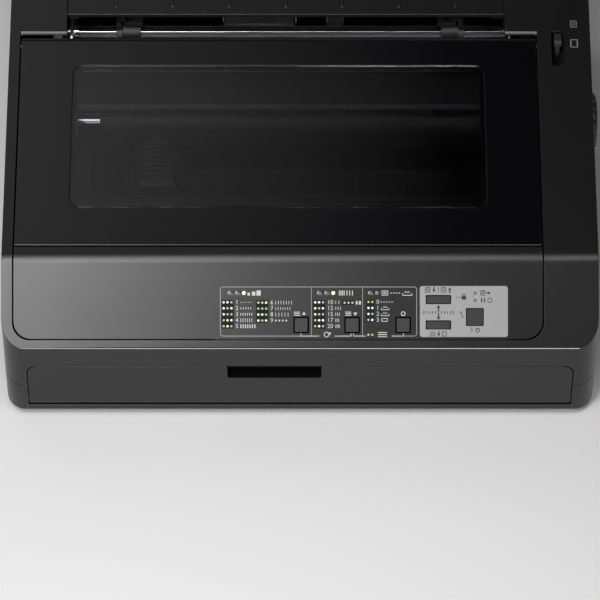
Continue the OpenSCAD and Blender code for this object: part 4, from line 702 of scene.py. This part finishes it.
class PRINTER_OT_panel_prints(bpy.types.Operator):
    """Print the frame, the choice tables, the numbers and the pictograms on the panel"""

    bl_idname = "printer.panel_prints"
    bl_label = "Panel prints"

    def execute(self, context):
        self.frame_lines()
        self.tables()
        self.numbers()
        self.film_marks()
        return {"FINISHED"}

    def frame_lines(self):
        """The frame with its two separators, open where the brackets run."""
        (x0, x1), (v0, v1) = FRAME_X, FRAME_V
        line = sizes().line / MM
        frame_line = flat_box((x0 + x1) / 2, (v0 + v1) / 2, x1 - x0, v1 - v0, 2.0, line)
        only(frame_line)
        bpy.ops.object.mode_set(mode="EDIT")
        for x in (BRACKETS[0][0], BRACKETS[-1][-1]):
            bpy.ops.mesh.select_all(action="SELECT")
            bpy.ops.mesh.bisect(plane_co=(x * MM, 0, 0), plane_no=(1, 0, 0))
        bpy.ops.mesh.select_all(action="DESELECT")
        bpy.ops.object.mode_set(mode="OBJECT")
        for face in frame_line.data.polygons:
            between = BRACKETS[0][0] * MM < face.center.x < BRACKETS[-1][-1] * MM
            face.select = between and face.center.y < (v0 + 2) * MM
        bpy.ops.object.mode_set(mode="EDIT")
        bpy.ops.mesh.select_mode(type="FACE")
        bpy.ops.mesh.delete(type="FACE")
        bpy.ops.mesh.select_mode(type="VERT")
        bpy.ops.object.mode_set(mode="OBJECT")
        marks = [frame_line]
        for x in SEPARATORS:
            marks.append(flat_box(x, (v0 + v1) / 2, line * 0.8, v1 - v0 - 2 * line))
        printed("panel_frame_lines", marks, on_panel(), ROOT, "line_ink")

    def tables(self):
        """The choice tables: dark plates with a dot for each lamp of a choice."""
        plates, dots = [], {"w": [], "g": [], "G": []}
        for x, v, rows in DOT_TABLES:
            columns = len(rows[0])
            plates.append(flat_box(x, v, columns * DOT_PITCH + 0.35, len(rows) * ROW_PITCH - 0.9, 0.5))
            for r, row in enumerate(rows):
                row_v = v + ((len(rows) - 1) / 2 - r) * ROW_PITCH
                for c, kind in enumerate(row):
                    dots[kind].append(flat_round(
                        x + (c - (columns - 1) / 2) * DOT_PITCH, row_v, DOT_RADIUS, 10))
        dots["G"] += [flat_round(x, 9.74, DOT_RADIUS, 10) for x in (46.9, 49.6)]
        depth = sizes().print_depth
        printed("choice_plates", plates, on_panel(), ROOT, "plate_ink", depth / 2)
        printed("choice_dots_light", dots["w"], on_panel(), ROOT, "dot_ink")
        printed("choice_dots_dim", dots["g"], on_panel(), ROOT, "dim_ink")
        printed("choice_dots_green", dots["G"], on_panel(), ROOT, "green_ink")

    def numbers(self):
        """The rows' numbers, the print samples, the headings and the key pictograms."""
        size = sizes().numeral / MM
        line = sizes().line / MM
        marks = []
        for x, v, rows in ROW_NUMBERS:
            marks += [flat_number(text, x, v - ROW_PITCH * r, size) for r, text in enumerate(rows)]
        # Print samples beside the numbers: how dense, how heavy and how wide the print is
        for x, v, samples in ROW_SAMPLES:
            for r, (count, pitch, width, height) in enumerate(samples):
                marks += flat_ticks(x, v - ROW_PITCH * r, count, pitch, width, height)
        # Where the paper is torn, and the three places that it comes from
        marks += flat_ticks(55.6, 32.25, 5, 1.9, 1.1, 0.5)
        for r in (1, 2):
            marks += flat_tray(58.4, 32.25 - ROW_PITCH * r, 5.2, 2.4, 0.45)
        marks.append(flat_box(58.0, 32.25 - ROW_PITCH * 3, 4.2, 2.4, 0.3, 0.45))
        # Headings: three type sizes, a closing pitch, and a sheet with its tear line and tray
        marks += [flat_box(-35.2 + 3.4 * i, HEADING_V - 0.4 * (2 - i), 1.7 + 0.6 * i, 1.9 + 0.8 * i)
                  for i in range(3)]
        marks += [flat_box(x, HEADING_V, 0.6, 3.4) for x in (27.0, 28.1, 29.2, 30.3, 32.2, 34.1, 36.0)]
        marks += flat_sheet(58.2, HEADING_V, 4.4, 3.4, 0.45)
        marks += flat_ticks(62.4, HEADING_V, 4, 1.9, 1.1, 0.55)
        marks += flat_tray(73.6, 38.3, 6.4, 3.0, 0.5)
        # A list and the way through it over the two item keys, and a ring over the set key
        for x, turn in ((-0.2, 0), (35.0, 180)):
            marks += [flat_box(x - 1.9, 24.2 + 1.1 * i, 4.2, 0.5) for i in (-1, 0, 1)]
            marks.append(flat_round(x + 2.9, 24.2, 1.5, 3, turn=turn))
        marks.append(flat_round(70.8, 24.2, 1.6, 18, 0.55))
        # Brackets that join two keys, each with its pictogram
        low, high = FRAME_V[0] + line / 2, 10.4
        for x0, x1, x2, x3 in BRACKETS:
            marks += [flat_line(x0, high, x0, low, line), flat_line(x0, low, x1, low, line),
                      flat_line(x2, low, x3, low, line), flat_line(x3, low, x3, high, line)]
        marks += [flat_round(18.2, 9.9, 1.9, 20, 0.5), flat_round(20.3, 10.6, 1.3, 3, turn=200)]
        marks += [flat_box(56.6, 9.9 + 1.4 * i, 6.2, 0.55) for i in (-1, 0, 1)]
        printed("panel_numbers", marks, on_panel(), ROOT, "light_ink")

    def film_marks(self):
        """Pictograms on the silver film."""
        thin = 0.5
        # A sheet that goes in, and one that comes out
        marks = [flat_box(95.0, 40.6, 0.45, 3.8)]
        for x, turn in ((87.6, 180), (98.4, 0)):
            marks += flat_sheet(x, 40.6, 3.6, 3.8, thin) + flat_arrow(x + 4.3, 40.6, 1.7, turn)
        # Fine steps up and down
        marks += flat_arrow(95.0, 28.3, 1.9, 0) + flat_arrow(95.0, 21.7, 1.9, 180)
        marks += [flat_box(95.0 + 2.0 * i, 25.0, 0.6, 2.8 if i % 5 == 0 else 1.8) for i in range(-5, 6)]
        marks += [flat_line(x0, v0, x1, v1, 0.5) for x0, v0, x1, v1 in (
            (109.4, 25.3, 110.7, 25.3), (110.7, 25.3, 111.3, 21.9), (111.3, 21.9, 112.5, 21.9))]
        # Line feed and page feed
        marks += [flat_box(91.0, 10.3 + 1.3 * i, 4.0, thin) for i in (-1, 0, 1)]
        marks += flat_arrow(95.2, 10.3, 1.6, 180) + [flat_box(99.0, 10.3, 3.2, 3.4, 0.2, thin)]
        # Lock, sheet and pause beside their lamps, and how long the key is held
        marks += [flat_box(112.4, 35.1, 3.2, 2.5, 0.3), flat_round(112.4, 36.6, 1.3, 16, 0.5)]
        marks += [flat_box(107.6 + 1.6 * i, 35.4, 0.9, 0.55) for i in range(3)]
        marks += flat_sheet(125.4, 38.5, 3.2, 3.6, thin) + flat_arrow(129.6, 38.5, 1.6, -90)
        marks += [flat_box(x, 33.4, 0.9, 3.0) for x in (124.6, 126.5)]
        marks.append(flat_round(130.2, 33.4, 1.7, 18, thin))
        marks.append(flat_number("3", 117.6, 12.9, 3.3, "CENTER"))
        marks += [flat_round(121.8, 12.9, 1.7, 18, thin), flat_line(121.8, 12.9, 121.8, 13.8, thin)]
        printed("film_marks", marks, on_panel(), ROOT, "dark_ink")


# ---------- Inside ----------
class PRINTER_OT_inside(bpy.types.Operator):
    """Build everything that the case holds"""

    bl_idname = "printer.inside"
    bl_label = "Mechanism and boards"

    def execute(self, context):
        done = {name for piece in bpy.data.objects for name in piece.get("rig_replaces", [])}
        for node in sorted(set(NODE_SLOT) - done):
            softened(node, sizes().part_edge)
        return {"FINISHED"}


# ---------- Fittings ----------
# Where the screw heads sit, in millimetres; the panel's as x, up the slope and depth
FRAME_SCREWS = [(x, y, 20) for x in (-155, 141) for y in (-80, 94)]
BOARD_SCREWS = [(x, y, 19.6) for x in (-140, 126) for y in (66, 160.5)]
POWER_SCREWS = [(x, y, 19.6) for x in (161, 192.5) for y in (-14, 140.5)]
REAR_SCREWS = [(x, 173.05, 94) for x in (-181, 181)]
PANEL_SCREWS = [(x, v, -11.6) for x in (-54.2, 141.6) for v in (9, 47)]
# Rows of chip legs on the logic board: first leg, count, whether the row runs along Y
CHIP_LEGS = [(x, 82.2, 9, True) for i in range(4) for x in (-11.0 + 18 * i, 3.0 + 18 * i)]
CHIP_LEGS += [(x, 82.4, 12, True) for x in (-61.0, -31.0)] + [(-58.1, y, 12, False) for y in (79.0, 109.0)]
LEG_PITCH = 2.2 * MM
# Rows of resistors on the logic board: first one, count; and from one to the next
RESISTORS = ((-24, 113, 9), (-24, 118, 9), (40, 113, 6), (-126, 84, 7), (-126, 89, 7))
RESISTOR_PITCH = 5 * MM


class PRINTER_OT_fittings(bpy.types.Operator):
    """Build the screws, the chips' legs and the boards' small parts"""

    bl_idname = "printer.fittings"
    bl_label = "Screws and board parts"

    def execute(self, context):
        screw = self.screw()
        to_rear = Matrix.Rotation(math.radians(-90), 4, "X")
        under_panel = on_panel() @ Matrix.Rotation(math.radians(180), 4, "X")
        for name, places, turn in (("frame", FRAME_SCREWS, Matrix()), ("board", BOARD_SCREWS, Matrix()),
                                   ("power", POWER_SCREWS, Matrix()), ("rear", REAR_SCREWS, to_rear)):
            for i, at in enumerate(places):
                place = Matrix.Translation(Vector(at) * MM) @ turn
                self.copied(screw, name + "_screw_%d" % (i + 1), place)
        for i, (x, v, depth) in enumerate(PANEL_SCREWS):
            place = under_panel @ Matrix.Translation(Vector((x, -v, -depth)) * MM)
            self.copied(screw, "panel_screw_%d" % (i + 1), place)
        bpy.data.objects.remove(screw)
        self.legs()
        self.small_parts()
        return {"FINISHED"}

    def screw(self):
        """A pan head with a cross recess, standing on the origin."""
        bpy.ops.object.select_all(action="DESELECT")
        bpy.ops.mesh.primitive_cylinder_add(
            vertices=20, radius=2.9 * MM, depth=1.9 * MM, location=(0, 0, 0.95 * MM))
        head = bpy.context.object
        settle()
        rounded(head, 0.6 * MM, 2)
        for size in ((2.9, 0.6, 1.6), (0.6, 2.9, 1.6)):
            cutter = self.block((0, 0, 2.0), size)
            modify(head, "BOOLEAN", object=cutter, operation="DIFFERENCE")
            bpy.data.objects.remove(cutter)
        shaded(head)
        return head

    def block(self, at, size):
        """A box of this size round the point at, both in millimetres."""
        bpy.ops.object.select_all(action="DESELECT")
        bpy.ops.mesh.primitive_cube_add(size=1, location=Vector(at) * MM)
        piece = bpy.context.object
        piece.scale = Vector(size) * MM
        settle()
        return piece

    def copied(self, source, name, place):
        """A copy of source with its own mesh, laid at place."""
        piece = bpy.data.objects.new(name, source.data.copy())
        bpy.context.scene.collection.objects.link(piece)
        piece.matrix_world = place
        only(piece)
        settle()
        return ready(piece, ROOT, "bright_steel")

    def repeated(self, piece, count, step):
        modify(piece, "ARRAY", count=count, use_relative_offset=False, use_constant_offset=True,
               constant_offset_displace=step)

    def legs(self):
        """Legs of the chips, in rows down to the board."""
        rows = []
        for x, y, count, along_y in CHIP_LEGS:
            leg = self.block((x, y, 20.4), (2.2, 0.8, 1.4) if along_y else (0.8, 2.2, 1.4))
            rounded(leg, 0.25 * MM, 2)
            self.repeated(leg, count, (0, LEG_PITCH, 0) if along_y else (LEG_PITCH, 0, 0))
            rows.append(leg)
        shaded(joined("chip_legs", rows))
        ready(rows[0], ROOT, "bright_steel")

    def small_parts(self):
        """Rows of small resistors, with metal ends, between the chips and the capacitors."""
        bodies, ends = [], []
        for x, y, count in RESISTORS:
            for size, parts in (((2.6, 1.6, 0.9), bodies), ((3.2, 1.5, 0.8), ends)):
                chip = self.block((x, y, 20.0), size)
                rounded(chip, 0.12 * MM, 1)
                self.repeated(chip, count, (RESISTOR_PITCH, 0, 0))
                parts.append(chip)
        ready(joined("resistor_bodies", bodies), ROOT, "black_plastic")
        ready(joined("resistor_ends", ends), ROOT, "bright_steel")


# ---------- Stage ----------
# Soft boxes: name, place, target, size, brightness, and whether it fades out along its width.
# The key lamp stands left of the camera's line, so that the panel fades to the right. The edge lamp
# shows in the panel's front edge, the bend lamp in the bend, and the rear lamp in the top.
LAMPS = (
    ("key_lamp", (-0.32, -0.76, 1.13), (-0.1, -0.149, 0.097), (0.35, 0.72), 13.7),
    ("edge_lamp", (-0.12, -1.45, 0.30), (-0.12, -0.17, 0.076), (0.9, 0.46), 13.5),
    ("bend_lamp", (0.05, -0.37, 1.38), (0.05, -0.149, 0.1), (0.8, 0.40), 4.8),
    ("rear_lamp", (-0.5, 0.75, 1.35), (-0.5, 0, 0.12), (1.3, 0.9), 0.8, True),
)
# The studio's brightness: how high the horizon's light ends and the dark begins, and both
SKY_HEIGHTS = (0.05, 0.75)
SKY_LIGHT = (0.25, 0.015)
# How far up the panel's slope the middle of the picture is
LOOK_AT_V = 33.6 * MM


class PRINTER_OT_stage(bpy.types.Operator):
    """Build the floor, the lights and the camera"""

    bl_idname = "printer.stage"
    bl_label = "Stage"

    def execute(self, context):
        bpy.ops.object.select_all(action="DESELECT")
        bpy.ops.mesh.primitive_plane_add(size=10, location=(0, 0, 0))
        floor = context.object
        floor.name = "floor"
        material, tree, shader = new_material("pale_floor")
        tinted(tree, shader, (0.66, 0.66, 0.66), 0.01, 3)
        shader.inputs["Roughness"].default_value = 0.8
        floor.data.materials.append(material)
        for lamp in LAMPS:
            self.lamp(*lamp)
        self.world(context)
        self.camera(context)
        context.scene.view_settings.view_transform = "Standard"
        return {"FINISHED"}

    def lamp(self, name, place, target, size, brightness, fade=False):
        """A soft box of this brightness, which may fade out along its width."""
        bpy.ops.object.light_add(type="AREA", location=place)
        lamp = bpy.context.object
        lamp.name = name
        lamp.data.shape = "RECTANGLE"
        lamp.data.size, lamp.data.size_y = size
        lamp.data.energy = brightness * math.pi * size[0] * size[1]
        lamp.rotation_euler = (Vector(place) - Vector(target)).to_track_quat("Z", "Y").to_euler()
        if fade:
            lamp.data.use_nodes = True
            tree = lamp.data.node_tree
            place_on = tree.nodes.new("ShaderNodeNewGeometry")
            across = tree.nodes.new("ShaderNodeSeparateXYZ")
            tree.links.new(place_on.outputs["Parametric"], across.inputs["Vector"])
            tree.links.new(spread(tree, across.outputs["X"], 0, 2), tree.nodes["Emission"].inputs["Strength"])

    def world(self, context):
        """A studio that is pale round the horizon and dark overhead."""
        world = bpy.data.worlds.new("studio")
        world.use_nodes = True
        tree = world.node_tree
        place = tree.nodes.new("ShaderNodeTexCoord")
        height = tree.nodes.new("ShaderNodeSeparateXYZ")
        tree.links.new(place.outputs["Generated"], height.inputs["Vector"])
        fall = tree.nodes.new("ShaderNodeMapRange")
        fall.interpolation_type = "SMOOTHSTEP"
        for name, value in zip(("From Min", "From Max", "To Min", "To Max"), SKY_HEIGHTS + SKY_LIGHT):
            fall.inputs[name].default_value = value
        tree.links.new(height.outputs["Z"], fall.inputs["Value"])
        tree.links.new(fall.outputs["Result"], tree.nodes["Background"].inputs["Strength"])
        tree.nodes["Background"].inputs["Color"].default_value = (1, 1, 1, 1)
        context.scene.world = world

    def camera(self, context):
        """A camera that looks straight down on the panel, as in the photo."""
        target = on_panel() @ Vector((0, LOOK_AT_V, 0))
        back = Vector((0, -math.sin(PANEL_SLOPE), math.cos(PANEL_SLOPE)))
        bpy.ops.object.camera_add(location=target + back * sizes().camera_distance)
        camera = context.object
        camera.rotation_euler = back.to_track_quat("Z", "Y").to_euler()
        camera.data.lens = camera.data.sensor_width * sizes().camera_distance / sizes().view_width
        context.scene.camera = camera


class PRINTER_PT_panel(bpy.types.Panel):
    """Steps and settings of the printer"""

    bl_label = "Printer"
    bl_idname = "PRINTER_PT_panel"
    bl_space_type = "VIEW_3D"
    bl_region_type = "UI"
    bl_category = "Printer"

    def draw(self, context):
        for group in (context.scene.printer_sizes, context.scene.printer_colours):
            for name in group.__annotations__:
                self.layout.prop(group, name)
        for step in STEPS:
            self.layout.operator(step.bl_idname)


STEPS = (PRINTER_OT_case, PRINTER_OT_panel_parts, PRINTER_OT_panel_prints, PRINTER_OT_inside,
         PRINTER_OT_fittings, PRINTER_OT_stage)
CLASSES = (PrinterColours, PrinterSizes, *STEPS, PRINTER_PT_panel)


def register():
    for each in CLASSES:
        bpy.utils.register_class(each)
    bpy.types.Scene.printer_colours = bpy.props.PointerProperty(type=PrinterColours)
    bpy.types.Scene.printer_sizes = bpy.props.PointerProperty(type=PrinterSizes)


def unregister():
    del bpy.types.Scene.printer_sizes
    del bpy.types.Scene.printer_colours
    for each in reversed(CLASSES):
        bpy.utils.unregister_class(each)


def main():
    register()
    for step in STEPS:
        group, name = step.bl_idname.split(".")
        getattr(getattr(bpy.ops, group), name)()


if __name__ == "__main__":
    main()
